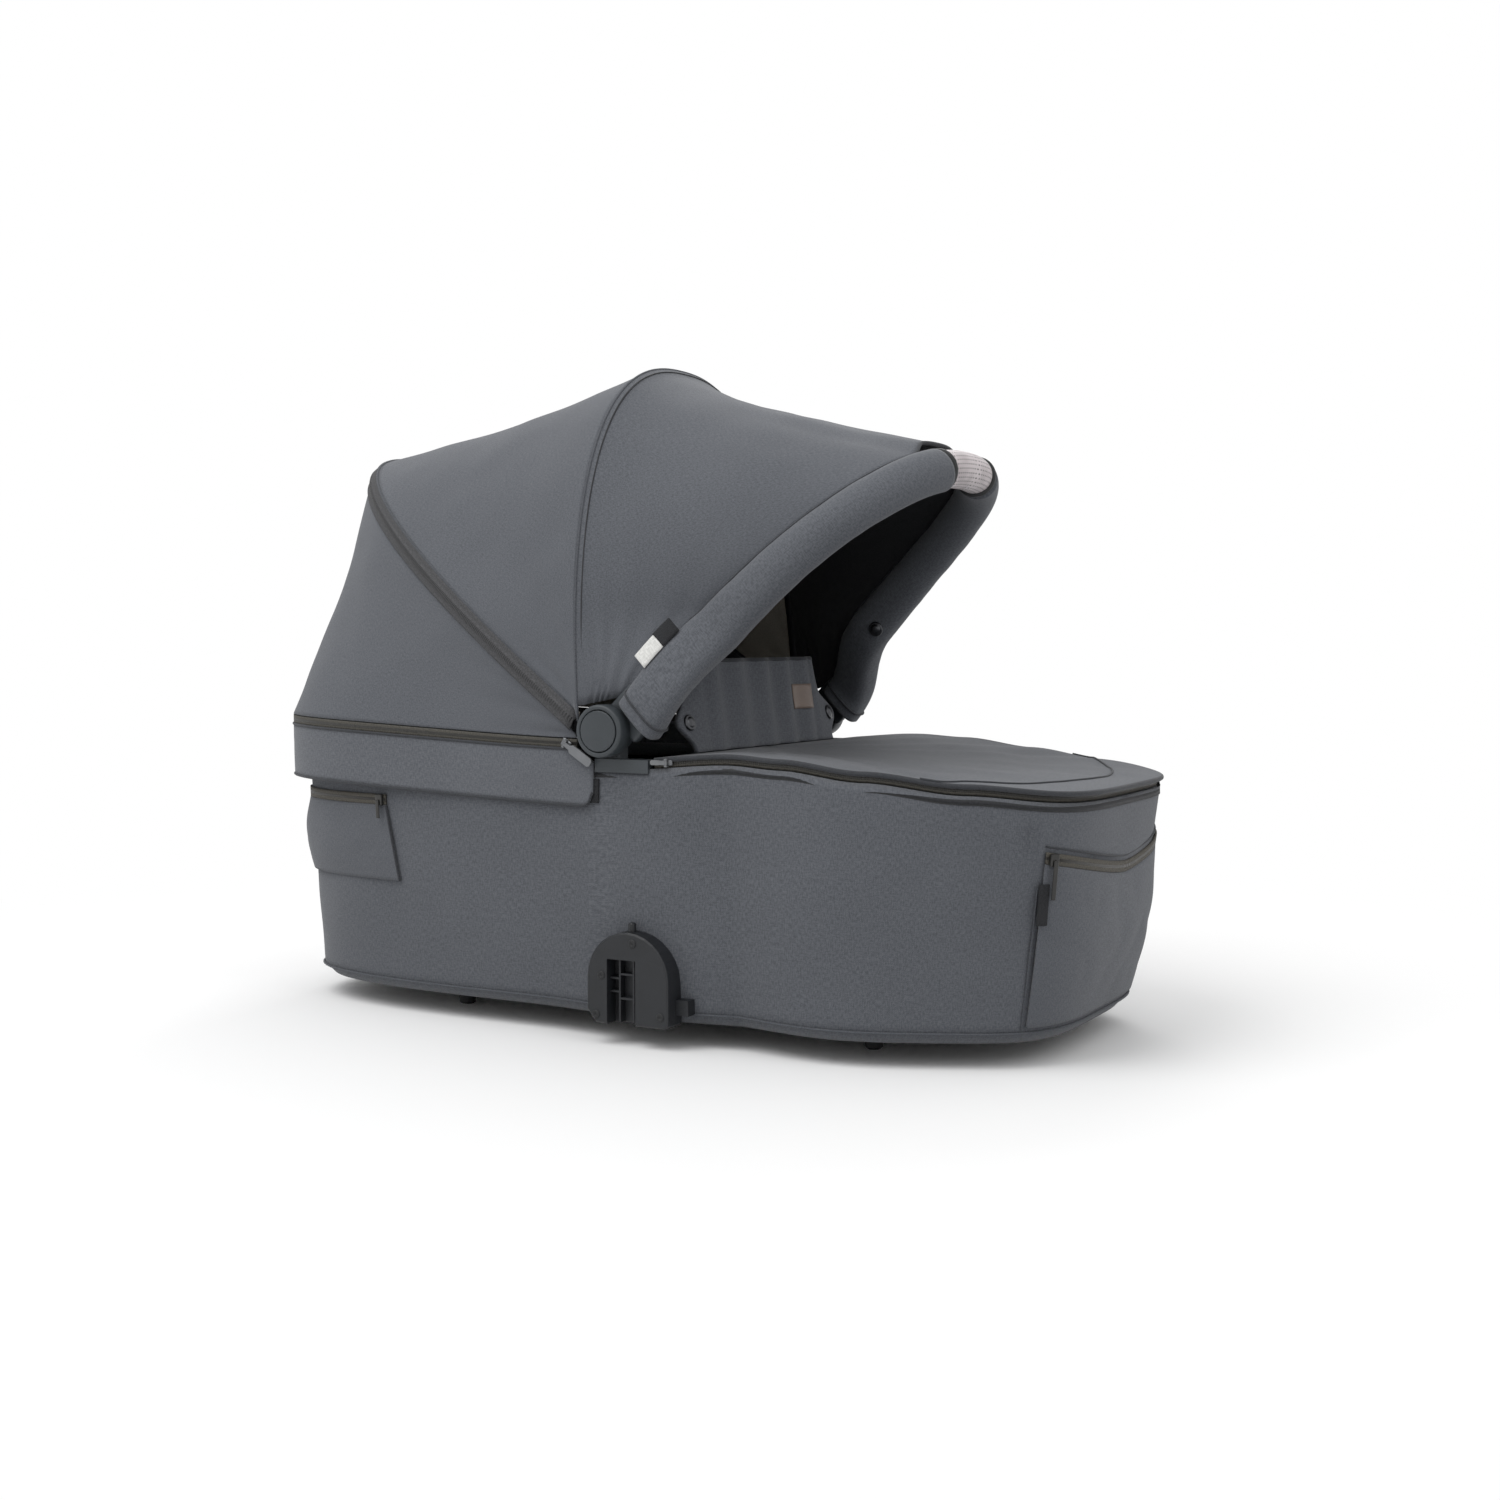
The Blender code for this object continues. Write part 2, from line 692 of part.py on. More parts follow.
EAR_OUTER = HUB_FACE - DISC_THICKNESS - RUNNING_GAP
EAR_INNER = EAR_OUTER - EAR_THICKNESS
MIDDLE_STRIP_SIDE = EAR_INNER - STRIP_SPACING
REAR_STRIP_SIDE = MIDDLE_STRIP_SIDE - STRIP_THICKNESS - STRIP_SPACING
PIN_INNER = REAR_STRIP_SIDE - STRIP_THICKNESS - STRIP_SPACING / 2
PIN_OUTER = HUB_FACE - BUTTON_POCKET - BUTTON_GAP


def make_strip(name, bow, depth, hub_side):
    # A flat spring strip whose two ends are drilled eyes on the pivot pins.
    end = bow_share(bow, STRIP_EYE_RADIUS * 0.8)

    def place(across, along):
        return strip_point(bow, mix(end, -end, across), depth, hub_side, mix(1, -1, along) * STRIP_WIDTH / 2)

    strip = sheet(name, 26, 1, place, STRIP_THICKNESS, STEEL, roughness=0.4)
    for label, side in SIDES.items():
        outer, inner = side * hub_side, side * (hub_side - STRIP_THICKNESS)
        eye = add_cutter(f"{name}_eye_{label}", cylinder_mesh(
            f"{name}_eye_{label}", STRIP_EYE_RADIUS, inner, outer, HUB_X, HUB_Z, 16))
        combine(strip, eye, "UNION")
        bore = add_cutter(f"{name}_bore_{label}", cylinder_mesh(
            f"{name}_bore_{label}", PIN_RADIUS + CLEARANCE, inner - side * OVERRUN,
            outer + side * OVERRUN, HUB_X, HUB_Z, 16))
        combine(strip, bore, "DIFFERENCE")
    return strip


def make_bow_strips():
    make_strip("middle_bow", MIDDLE_BOW, MIDDLE_STRIP_DEPTH, MIDDLE_STRIP_SIDE)
    make_strip("rear_bow", REAR_BOW, REAR_STRIP_DEPTH, REAR_STRIP_SIDE)


def band_outset(x):
    return mix(BAND_OUTSET, HEAD_OUTSET, smooth((-x / RIM_LENGTH * 2 - 0.35) / 0.5))


PANEL_FOOT = BAND_TOP + CLEARANCE + ZIP_TAPE_HEIGHT + RIDGE_GAP


def hood_sag(point, amount, rise):
    # Fabric between two bows hangs a little towards the middle of the hood.
    middle = Vector((HUB_X, 0, HUB_Z + SLEEVE_WIDTH_LOW))
    return point + (middle - point).normalized() * amount * 4 * rise * (1 - rise)


def make_rear_panel():
    stops = stops_between(share_at(BAND_ZIP_END, 1), share_at(BAND_ZIP_END, -1))
    columns = len(stops) - 1
    end = bow_share(REAR_BOW, HOOD_TAPE_START)
    edge = HOOD_TAPE_WIDTH / 2 + EDGE_GAP

    def place(across, up):
        angle = angle_at(stops[round(across * columns)])
        x, _ = outline_point(angle, 1)
        foot = wall_point_at(angle, PANEL_FOOT, band_outset(x))
        top = bow_point(REAR_BOW, mix(end, -end, across), back=edge)
        calm = math.sin(math.pi * across)
        return hood_sag(foot.lerp(top, up), REAR_SAG * calm, up)

    sheet("hood_rear_panel", columns, 5, place, PANEL_THICKNESS, FABRIC)


def make_middle_panel():
    rear_end = bow_share(REAR_BOW, HOOD_TAPE_START)
    front_end = bow_share(MIDDLE_BOW, MIDDLE_SEAM_START)
    edge = HOOD_TAPE_WIDTH / 2 + EDGE_GAP

    def place(across, forward):
        rear = bow_point(REAR_BOW, mix(rear_end, -rear_end, across), back=-edge)
        front = bow_point(MIDDLE_BOW, mix(front_end, -front_end, across), back=RIDGE_GAP)
        calm = math.sin(math.pi * across)
        return hood_sag(rear.lerp(front, forward), HOOD_SAG * calm, forward)

    sheet("hood_middle_panel", 24, 5, place, PANEL_THICKNESS, FABRIC)


def sleeve_width(reach):
    return mix(SLEEVE_WIDTH_LOW, SLEEVE_WIDTH_HIGH, smooth(reach / SLEEVE_TAPER_END))


def sleeve_drop(reach):
    return mix(SLEEVE_DROP_LOW, SLEEVE_DROP_HIGH, smooth(reach / SLEEVE_TAPER_END))


def sleeve_depth(reach):
    return mix(SLEEVE_DEPTH, 2 * RING_RADIUS - RIDGE_GAP, smooth(reach / FRONT_BOW.radius))


def bow_reach(bow, share):
    return bow.radius * math.sin(math.pi / 2 * (1 - abs(share))) ** (2 / bow.power)


def make_front_panel():
    rear_end = bow_share(MIDDLE_BOW, MIDDLE_SEAM_START)
    front_end = bow_share(FRONT_BOW, SLEEVE_START + CLEARANCE)

    def place(across, forward):
        rear = bow_point(MIDDLE_BOW, mix(rear_end, -rear_end, across), back=-RIDGE_GAP)
        share = mix(front_end, -front_end, across)
        reach = bow_reach(FRONT_BOW, share)
        edge = sleeve_width(reach) / 2 - sleeve_drop(reach) + EDGE_GAP
        front = bow_point(FRONT_BOW, share, back=edge)
        cut = SLOT_DEPTH * smooth((SLOT_LENGTH / 2 - abs(front.y)) / (SLOT_LENGTH / 4))
        front = bow_point(FRONT_BOW, share, back=edge + cut)
        return rear.lerp(front, forward)

    sheet("hood_front_panel", 24, 5, place, PANEL_THICKNESS, FABRIC)


def make_hood_tape():
    end = bow_share(REAR_BOW, HOOD_TAPE_START)

    def place(across, along):
        return bow_point(REAR_BOW, mix(end, -end, across), back=mix(1, -1, along) * HOOD_TAPE_WIDTH / 2)

    sheet("hood_zip", 24, 1, place, ZIP_TAPE_THICKNESS, ZIP_GREY)


# Front bow

def bow_frame(bow, share):
    # Centre, outward direction and backward direction of a section across the bow.
    step = 0.01
    before = bow_point(bow, share - step)
    after = bow_point(bow, share + step)
    back = Vector((-math.sin(bow.lean), 0, math.cos(bow.lean)))
    out = (after - before).normalized().cross(back)
    centre = bow_point(bow, share)
    middle = Vector((HUB_X, 0, HUB_Z))
    if out.dot(centre - middle) < 0:
        out.negate()
    return centre, out, back


def bow_section(bow, share, around, width, depth, drop, power=2.0):
    centre, out, back = bow_frame(bow, share)
    turn = 2 * math.pi * around
    across = width / 2 * signed_power(math.cos(turn), 2 / power)
    outward = depth / 2 * signed_power(math.sin(turn), 2 / power)
    return centre + back * (across - drop) + out * outward


def share_at_side(bow, side):
    # The share at which the bow is a given distance from the middle plane.
    angle = math.acos((side / bow.half_width) ** (bow.power / 2))
    return 1 - angle / (math.pi / 2)


def make_front_bow():
    start = bow_share(FRONT_BOW, ARM_LENGTH + 2 * RUNNING_GAP)
    shares = np.linspace(-start, start, 29)
    tube("front_bow", [bow_point(FRONT_BOW, share) for share in shares], BOW_TUBE_RADIUS,
         STEEL, metallic=0.8)
    grip_end = share_at_side(FRONT_BOW, GRIP_LENGTH / 2)
    ring_end = share_at_side(FRONT_BOW, GRIP_LENGTH / 2 + CLEARANCE + RING_WIDTH)
    sleeve_end = share_at_side(FRONT_BOW, GRIP_LENGTH / 2 + 2 * CLEARANCE + RING_WIDTH)
    sleeve_start = bow_share(FRONT_BOW, SLEEVE_START)
    ring_start = share_at_side(FRONT_BOW, GRIP_LENGTH / 2 + CLEARANCE)

    def sleeve_place(side):
        def place(around, along):
            share = side * mix(sleeve_start, sleeve_end, along)
            reach = bow_reach(FRONT_BOW, share)
            power = mix(SLEEVE_POWER, 2, smooth(reach / SLEEVE_TAPER_END))
            return bow_section(FRONT_BOW, share, -side * around, sleeve_width(reach), sleeve_depth(reach),
                               sleeve_drop(reach), power)
        return place

    def collar_mesh(name, first, last, radius, steps, sides):
        rings = []
        for index in range(steps + 1):
            share = mix(first, last, index / steps)
            rings.append([bow_section(FRONT_BOW, share, corner / sides, 2 * radius, 2 * radius, 0)
                          for corner in range(sides)])
        return loft_mesh(name, rings)

    def bored(item, name, first, last, steps):
        bore = add_cutter(name, collar_mesh(name, first, last, BOW_TUBE_RADIUS + CLEARANCE * 2, steps, 16))
        combine(item, bore, "DIFFERENCE")

    for label, side in SIDES.items():
        sheet(f"front_sleeve_{label}", 12, 12, sleeve_place(side), SLEEVE_THICKNESS, FABRIC, wrap=True)
        ring = add_object(f"grip_ring_{label}", collar_mesh(
            f"grip_ring_{label}", side * ring_start, side * ring_end, RING_RADIUS, 1, 20), FABRIC)
        extra = 0.01
        bored(ring, f"grip_ring_bore_{label}", side * (ring_start - extra), side * (ring_end + extra), 3)
    grip = add_object("handle_grip", collar_mesh(
        "handle_grip", -grip_end, grip_end, GRIP_RADIUS, 5, 20), LEATHER, 0.5)
    bored(grip, "handle_grip_bore", -grip_end - 0.01, grip_end + 0.01, 5)


# Hubs

def arm_outline():
    # The arm leaves the disc along the front bow and narrows to the tube.
    lean = FRONT_BOW.lean
    along = Vector((math.cos(lean), math.sin(lean)))
    back = Vector((-math.sin(lean), math.cos(lean)))
    origin = Vector((HUB_X, HUB_Z))
    seam = Vector((HUB_X + FRONT_BOW.shift, HUB_Z))
    half = ARM_ROOT_WIDTH / 2
    drop = SLEEVE_DROP_LOW
    rim = DISC_RADIUS * 0.96
    points = [
        origin + back * rim,
        seam + along * SLEEVE_START + back * (half - drop),
        seam + along * ARM_LENGTH + back * (ARM_TIP_WIDTH / 2 - drop / 2),
        seam + along * ARM_LENGTH - back * (ARM_TIP_WIDTH / 2 + drop / 2),
        seam + along * SLEEVE_START - back * (half + drop),
        origin + along * rim * 0.3 - back * rim * 0.95,
    ]
    return [(point.x, point.y) for point in points]


def make_hub(label, side):
    face = side * HUB_FACE
    inner = side * (HUB_FACE - DISC_THICKNESS)
    knuckle = add_object(f"hub_knuckle_{label}", cylinder_mesh(
        f"hub_knuckle_{label}", DISC_RADIUS, inner, face, HUB_X, HUB_Z, 28, DISC_BEVEL, 2), PLASTIC, 0.5)
    arm_inner, arm_outer = side * ARM_INNER, side * ARM_OUTER
    arm = add_cutter(f"hub_arm_{label}", outline_mesh(f"hub_arm_{label}", arm_outline(), arm_inner, arm_outer))
    relief = add_cutter(f"arm_relief_{label}", cylinder_mesh(
        f"arm_relief_{label}", EAR_RADIUS + RUNNING_GAP, arm_inner - side * OVERRUN,
        inner - side * RUNNING_GAP / 2, HUB_X, HUB_Z, 24))
    combine(arm, relief, "DIFFERENCE")
    combine(knuckle, arm, "UNION")
    pocket = add_cutter(f"button_pocket_{label}", cylinder_mesh(
        f"button_pocket_{label}", BUTTON_RADIUS + BUTTON_GAP, face - side * BUTTON_POCKET,
        face + side * OVERRUN, HUB_X, HUB_Z, 28))
    combine(knuckle, pocket, "DIFFERENCE")
    bore = add_cutter(f"knuckle_bore_{label}", cylinder_mesh(
        f"knuckle_bore_{label}", PIN_RADIUS + CLEARANCE, inner - side * OVERRUN,
        face, HUB_X, HUB_Z, 16))
    combine(knuckle, bore, "DIFFERENCE")

    button_inner = face - side * (BUTTON_POCKET - BUTTON_TRAVEL - BUTTON_GAP)
    add_object(f"hub_button_{label}", cylinder_mesh(
        f"hub_button_{label}", BUTTON_RADIUS, button_inner, face + side * BUTTON_PROUD,
        HUB_X, HUB_Z, 24, DISC_BEVEL / 3), PLASTIC, 0.45)

    # The bracket sits astride the rim and carries the ear that the pin goes through.
    ear_outer, ear_inner = side * EAR_OUTER, side * EAR_INNER
    bracket = add_object(f"hub_bracket_{label}", cylinder_mesh(
        f"hub_bracket_{label}", EAR_RADIUS, ear_inner, ear_outer, HUB_X, HUB_Z, 24), PLASTIC, 0.55)
    ledge_top = HUB_Z - DISC_RADIUS - RUNNING_GAP
    low = (HUB_X - BRACKET_BACK, min(ear_inner, ear_outer + side * BRACKET_LEDGE), HUB_Z - DISC_RADIUS * 1.5)
    high = (HUB_X + BRACKET_FRONT, max(ear_inner, ear_outer + side * BRACKET_LEDGE), ledge_top)
    base = add_cutter(f"bracket_base_{label}", block_mesh(f"bracket_base_{label}", low, high))
    neck_low = (HUB_X - BRACKET_NECK_WIDTH / 2, min(ear_inner, ear_outer), ledge_top - BRACKET_DROP)
    neck_high = (HUB_X + BRACKET_NECK_WIDTH / 2, max(ear_inner, ear_outer), HUB_Z)
    neck = add_cutter(f"bracket_neck_{label}", block_mesh(f"bracket_neck_{label}", neck_low, neck_high))
    combine(bracket, neck, "UNION")
    combine(bracket, base, "UNION")
    combine(bracket, COVER_ENVELOPE, "DIFFERENCE")
    hole = add_cutter(f"bracket_bore_{label}", cylinder_mesh(
        f"bracket_bore_{label}", PIN_RADIUS + CLEARANCE, ear_inner - side * OVERRUN,
        ear_outer + side * OVERRUN, HUB_X, HUB_Z, 16))
    combine(bracket, hole, "DIFFERENCE")

    pin = add_object(f"pivot_pin_{label}", cylinder_mesh(
        f"pivot_pin_{label}", PIN_RADIUS, side * PIN_INNER, side * PIN_OUTER, HUB_X, HUB_Z, 16),
        STEEL, 0.3, 0.9)
    head = add_cutter(f"pin_head_{label}", cylinder_mesh(
        f"pin_head_{label}", PIN_HEAD_RADIUS, side * (PIN_INNER - PIN_HEAD_THICKNESS),
        side * PIN_INNER, HUB_X, HUB_Z, 16))
    combine(pin, head, "UNION")


def make_cover_envelope():
    # The space of the covered tub, a running clearance larger, that cuts what seats on it.
    grow = LAYER_GAP * 0.75

    def rolled(turn):
        radius = RIM_RING + grow
        inset = RIM_RING - radius * math.cos(turn)
        return lambda angle: wall_at_drop(angle, RIM_RING - radius * math.sin(turn), inset)

    def lowest(angle):
        point = wall_point(angle, 0, -grow)
        point.z = ADAPTER_BOTTOM - OVERRUN
        return point

    steps = [
        lowest,
        lambda angle: wall_point(angle, 0, -grow),
        lambda angle: wall_point(angle, 0.33, -grow),
        lambda angle: wall_point(angle, 0.66, -grow),
    ]
    steps += [rolled(math.pi * index / 6) for index in range(7)]
    rings = [[step(angle_at(index / OUTLINE_STEPS)) for index in range(OUTLINE_STEPS)] for step in steps]
    return add_cutter("cover_envelope", loft_mesh("cover_envelope", rings))


# Adapters

def arch_outline():
    half = ADAPTER_WIDTH / 2
    spring = ADAPTER_TOP - half
    points = [
        (ADAPTER_X - half + ADAPTER_CHAMFER, ADAPTER_BOTTOM),
        (ADAPTER_X + half - ADAPTER_CHAMFER / 3, ADAPTER_BOTTOM),
        (ADAPTER_X + half, ADAPTER_BOTTOM + ADAPTER_CHAMFER / 3),
    ]
    steps = 14
    for index in range(steps + 1):
        turn = math.pi * index / steps
        points.append((ADAPTER_X + half * math.cos(turn), spring + half * math.sin(turn)))
    points.append((ADAPTER_X - half, ADAPTER_BOTTOM + ADAPTER_CHAMFER * 1.3))
    return points


def make_adapter(label, side):
    face, back = side * ADAPTER_FACE, side * ADAPTER_BACK
    housing = add_object(f"adapter_housing_{label}", outline_mesh(
        f"adapter_housing_{label}", arch_outline(), back, face), PLASTIC, 0.5)
    edge = housing.modifiers.new("edge", "BEVEL")
    edge.width = ADAPTER_BEVEL
    edge.segments = 1
    edge.limit_method = "ANGLE"
    edge.angle_limit = math.radians(60)

    centre = ADAPTER_X + SOCKET_OFFSET
    floor = side * (ADAPTER_FACE - SOCKET_DEPTH)
    low = (centre - SOCKET_WIDTH / 2, min(floor, face + side * OVERRUN), ADAPTER_BOTTOM - OVERRUN)
    high = (centre + SOCKET_WIDTH / 2, max(floor, face + side * OVERRUN), SOCKET_TOP)
    combine(housing, add_cutter(f"socket_{label}", block_mesh(f"socket_{label}", low, high)), "DIFFERENCE")

    # Ribs stand on the socket's floor and stop short of the face.
    rib_face = side * (ADAPTER_FACE - RIB_SETBACK)
    root = floor - side * RIB_THICKNESS / 2
    uprights = [centre + RIB_SHIFT + step * RIB_SPACING / 2 for step in (-1, 1)]
    ribs = [((x - RIB_THICKNESS / 2, ADAPTER_BOTTOM + CLEARANCE * 4),
             (x + RIB_THICKNESS / 2, SOCKET_TOP + RIB_THICKNESS / 2)) for x in uprights]
    ribs += [((uprights[0], z - RIB_THICKNESS / 2), (uprights[1], z + RIB_THICKNESS / 2))
             for z in RIB_HEIGHTS]
    ribs += [((centre - SOCKET_WIDTH / 2 - RIB_THICKNESS / 2, z - RIB_THICKNESS / 2),
              (uprights[0], z + RIB_THICKNESS / 2)) for z in SIDE_RIB_HEIGHTS]
    for index, (near_corner, far_corner) in enumerate(ribs):
        low = (near_corner[0], min(root, rib_face), near_corner[1])
        high = (far_corner[0], max(root, rib_face), far_corner[1])
        name = f"socket_rib_{label}_{index}"
        combine(housing, add_cutter(name, block_mesh(name, low, high)), "UNION")

    lug_x = ADAPTER_X + ADAPTER_WIDTH / 2
    lug_face = side * (ADAPTER_BACK + LUG_THICKNESS * 2)
    low = (lug_x - OVERRUN, min(back, lug_face), LUG_BOTTOM)
    high = (lug_x + LUG_LENGTH, max(back, lug_face), LUG_BOTTOM + LUG_HEIGHT)
    combine(housing, add_cutter(f"lug_{label}", block_mesh(f"lug_{label}", low, high)), "UNION")

    nub_y = side * (ADAPTER_FACE - NUB_SETBACK)
    well = add_cutter(f"nub_well_{label}", upright_cylinder(
        f"nub_well_{label}", NUB_RADIUS + CLEARANCE, ADAPTER_TOP + NUB_PROUD - NUB_LENGTH - NUB_TRAVEL
        - CLEARANCE * 2, ADAPTER_TOP + OVERRUN, ADAPTER_X, nub_y))
    combine(housing, well, "DIFFERENCE")
    combine(housing, COVER_ENVELOPE, "DIFFERENCE")
    top = ADAPTER_TOP + NUB_PROUD
    nub = add_object(f"adapter_button_{label}", upright_cylinder(
        f"adapter_button_{label}", NUB_RADIUS, top - NUB_LENGTH, top, ADAPTER_X, nub_y), BLACK, 0.5)
    crown = nub.modifiers.new("crown", "BEVEL")
    crown.width = NUB_RADIUS / 3
    crown.segments = 1
    crown.limit_method = "ANGLE"
    crown.angle_limit = math.radians(60)


def upright_cylinder(name, radius, low, high, x, y, sides=12):
    shape = bmesh.new()
    bmesh.ops.create_cone(shape, cap_ends=True, segments=sides, radius1=radius, radius2=radius,
                          depth=high - low)
    bmesh.ops.translate(shape, vec=(x, y, (low + high) / 2), verts=shape.verts)
    return finish_mesh(name, shape)


# Band, zips and pockets

def make_band():
    near, far = share_at(BAND_END_X, -1), share_at(BAND_END_X, 1)

    def top(x):
        return BAND_TOP - BAND_END_DROP * smooth((x - 3 * BAND_END_X) / (-2 * BAND_END_X))

    wall_patch("hood_band", far, near, lambda x: BAND_BOTTOM, top, band_outset,
               BAND_THICKNESS, 2, FABRIC)
    near, far = share_at(BAND_ZIP_END, -1), share_at(BAND_ZIP_END, 1)
    low = BAND_TOP + CLEARANCE
    wall_patch("band_zip", far, near, lambda x: low, lambda x: low + ZIP_TAPE_HEIGHT, band_outset,
               ZIP_TAPE_THICKNESS, 1, ZIP_GREY)


def make_pockets():
    near, far = share_at(HEAD_POCKET_X, -1), share_at(HEAD_POCKET_X, 1)
    seat = POCKET_THICKNESS + LAYER_GAP
    zip_low = HEAD_POCKET_TOP + CLEARANCE
    wall_patch("head_pocket", far, near, lambda x: HEAD_POCKET_BOTTOM, lambda x: HEAD_POCKET_TOP,
               lambda x: seat, POCKET_THICKNESS, 3, FABRIC)
    wall_patch("head_pocket_zip", far, near, lambda x: zip_low,
               lambda x: zip_low + POCKET_ZIP_HEIGHT, lambda x: seat, ZIP_TAPE_THICKNESS, 1, ZIP_GREY)
    reach = share_at(FOOT_POCKET_X, 1)
    zip_low = FOOT_POCKET_TOP + CLEARANCE
    wall_patch("foot_pocket", -reach, reach, lambda x: FOOT_POCKET_BOTTOM, lambda x: FOOT_POCKET_TOP,
               lambda x: seat, POCKET_THICKNESS, 4, FABRIC, belly=POCKET_BELLY)
    wall_patch("foot_pocket_zip", -reach, reach, lambda x: zip_low,
               lambda x: zip_low + POCKET_ZIP_HEIGHT, lambda x: seat, ZIP_TAPE_THICKNESS, 1, ZIP_GREY)


def make_slider(name, pull_name, seat, outward, along, pull_length, tip=PULL_TIP_WIDTH, body=1.0):
    # seat is the middle of the slider's base, outward leaves the tape, along is where the pull lies.
    outward = outward.normalized()
    along = (along - outward * along.dot(outward)).normalized()
    across = outward.cross(along)
    turn = Matrix((along, across, outward)).transposed().to_4x4()
    frame = Matrix.Translation(seat) @ turn
    bar_height = SLIDER_THICKNESS + PULL_BOSS / 2 + CLEARANCE
    neck_width = min(PULL_NECK_WIDTH, tip)
    half_neck = neck_width / 2 + CLEARANCE
    cheek = EYE_BAR_RADIUS * 1.6

    half_width = SLIDER_WIDTH * body / 2
    slider = add_object(name, block_mesh(
        name, (-SLIDER_LENGTH / 2, -half_width, 0), (SLIDER_LENGTH / 2, half_width, SLIDER_THICKNESS),
        SLIDER_THICKNESS / 4), METAL_GREY, 0.4, 0.6)
    slider.matrix_world = frame
    for index, step in enumerate((-1, 1)):
        near, far = sorted((step * half_neck, step * (half_neck + cheek)))
        label = f"{name}_cheek_{index}"
        post = add_cutter(label, block_mesh(
            label, (-EYE_BAR_RADIUS * 1.5, near, SLIDER_THICKNESS / 2),
            (EYE_BAR_RADIUS * 1.5, far, bar_height + EYE_BAR_RADIUS * 1.3)))
        post.matrix_world = frame
        combine(slider, post, "UNION")
    label = f"{name}_bar"
    bar = add_cutter(label, cylinder_mesh(
        label, EYE_BAR_RADIUS, -half_neck - cheek / 2, half_neck + cheek / 2, 0, bar_height, 10))
    bar.matrix_world = frame
    combine(slider, bar, "UNION")

    # The pull's eye turns on the slider's bar; its own origin is on that bar.
    boss = PULL_BOSS / 2
    neck = SLIDER_LENGTH / 2 + EYE_RADIUS
    flat = PULL_THICKNESS / 2
    plate_points = [
        (0, -neck_width / 2), (neck, -neck_width / 2), (neck + tip / 3, -tip / 2),
        (pull_length - tip / 4, -tip / 2), (pull_length, -tip / 4), (pull_length, tip / 4),
        (pull_length - tip / 4, tip / 2), (neck + tip / 3, tip / 2), (neck, neck_width / 2),
        (0, neck_width / 2),
    ]
    rings = [[(x, y, z) for x, y in plate_points] for z in (-flat, flat)]
    pull = add_object(pull_name, loft_mesh(pull_name, rings), METAL_GREY, 0.4, 0.6)
    pivot = frame @ Matrix.Translation((0, 0, bar_height))
    pull.matrix_world = pivot
    label = f"{pull_name}_boss"
    round_end = add_cutter(label, cylinder_mesh(
        label, boss, -neck_width / 2, neck_width / 2, 0, 0, 12))
    round_end.matrix_world = pivot
    combine(pull, round_end, "UNION")
    label = f"{pull_name}_eye"
    hole = add_cutter(label, cylinder_mesh(
        label, EYE_BAR_RADIUS + CLEARANCE / 1.5, -PULL_TIP_WIDTH, PULL_TIP_WIDTH, 0, 0, 10))
    hole.matrix_world = pivot
    combine(pull, hole, "DIFFERENCE")


def wall_frame(share, height, outset):
    # A point on the wall with its outward and forward-going directions.
    step = 0.004
    point = wall_point_at(angle_at(share), height, outset)
    ahead = wall_point_at(angle_at(share + step), height, outset)
    behind = wall_point_at(angle_at(share - step), height, outset)
    tangent = (ahead - behind).normalized()
    outward = tangent.cross(Vector((0, 0, 1))).normalized()
    return point, outward, tangent


def make_sliders():
    up = Vector((0, 0, 1))
    x = BAND_ZIP_END - SLIDER_LENGTH
    height = BAND_TOP + CLEARANCE + ZIP_TAPE_HEIGHT / 2
    point, outward, tangent = wall_frame(share_at(x, -1), height, band_outset(x) + CLEARANCE)
    make_slider("band_zip_slider", "band_zip_pull", point, outward, tangent - up * 0.6, BAND_PULL_LENGTH)

    x = APRON_START + SLIDER_LENGTH
    for label, side in SIDES.items():
        height = rim_height(x) + APRON_ZIP_HEIGHT / 2
        point, outward, tangent = wall_frame(share_at(x, side), height, CLEARANCE - APRON_ZIP_INSET)
        make_slider(f"apron_zip_slider_{label}", f"apron_zip_pull_{label}", point, outward,
                    Vector((-1, 0, 0)), APRON_PULL_LENGTH, APRON_ZIP_HEIGHT * 0.75, APRON_SLIDER_SHARE)

    seat = POCKET_THICKNESS + LAYER_GAP + CLEARANCE
    x = HEAD_POCKET_X - SLIDER_LENGTH
    height = HEAD_POCKET_TOP + CLEARANCE + POCKET_ZIP_HEIGHT / 2
    point, outward, tangent = wall_frame(share_at(x, -1), height, seat)
    make_slider("head_pocket_slider", "head_pocket_pull", point, outward, -up, APRON_PULL_LENGTH)

    share = SLIDER_LENGTH / RIM_LENGTH / 3 - share_at(FOOT_POCKET_X, 1)
    height = FOOT_POCKET_TOP + CLEARANCE + POCKET_ZIP_HEIGHT / 2
    point, outward, tangent = wall_frame(share, height, seat - RUNNING_GAP * 0.7)
    make_slider("foot_pocket_slider", "foot_pocket_pull", point, outward, -up, POCKET_PULL_LENGTH, PULL_NECK_WIDTH)


# Apron and wind flap

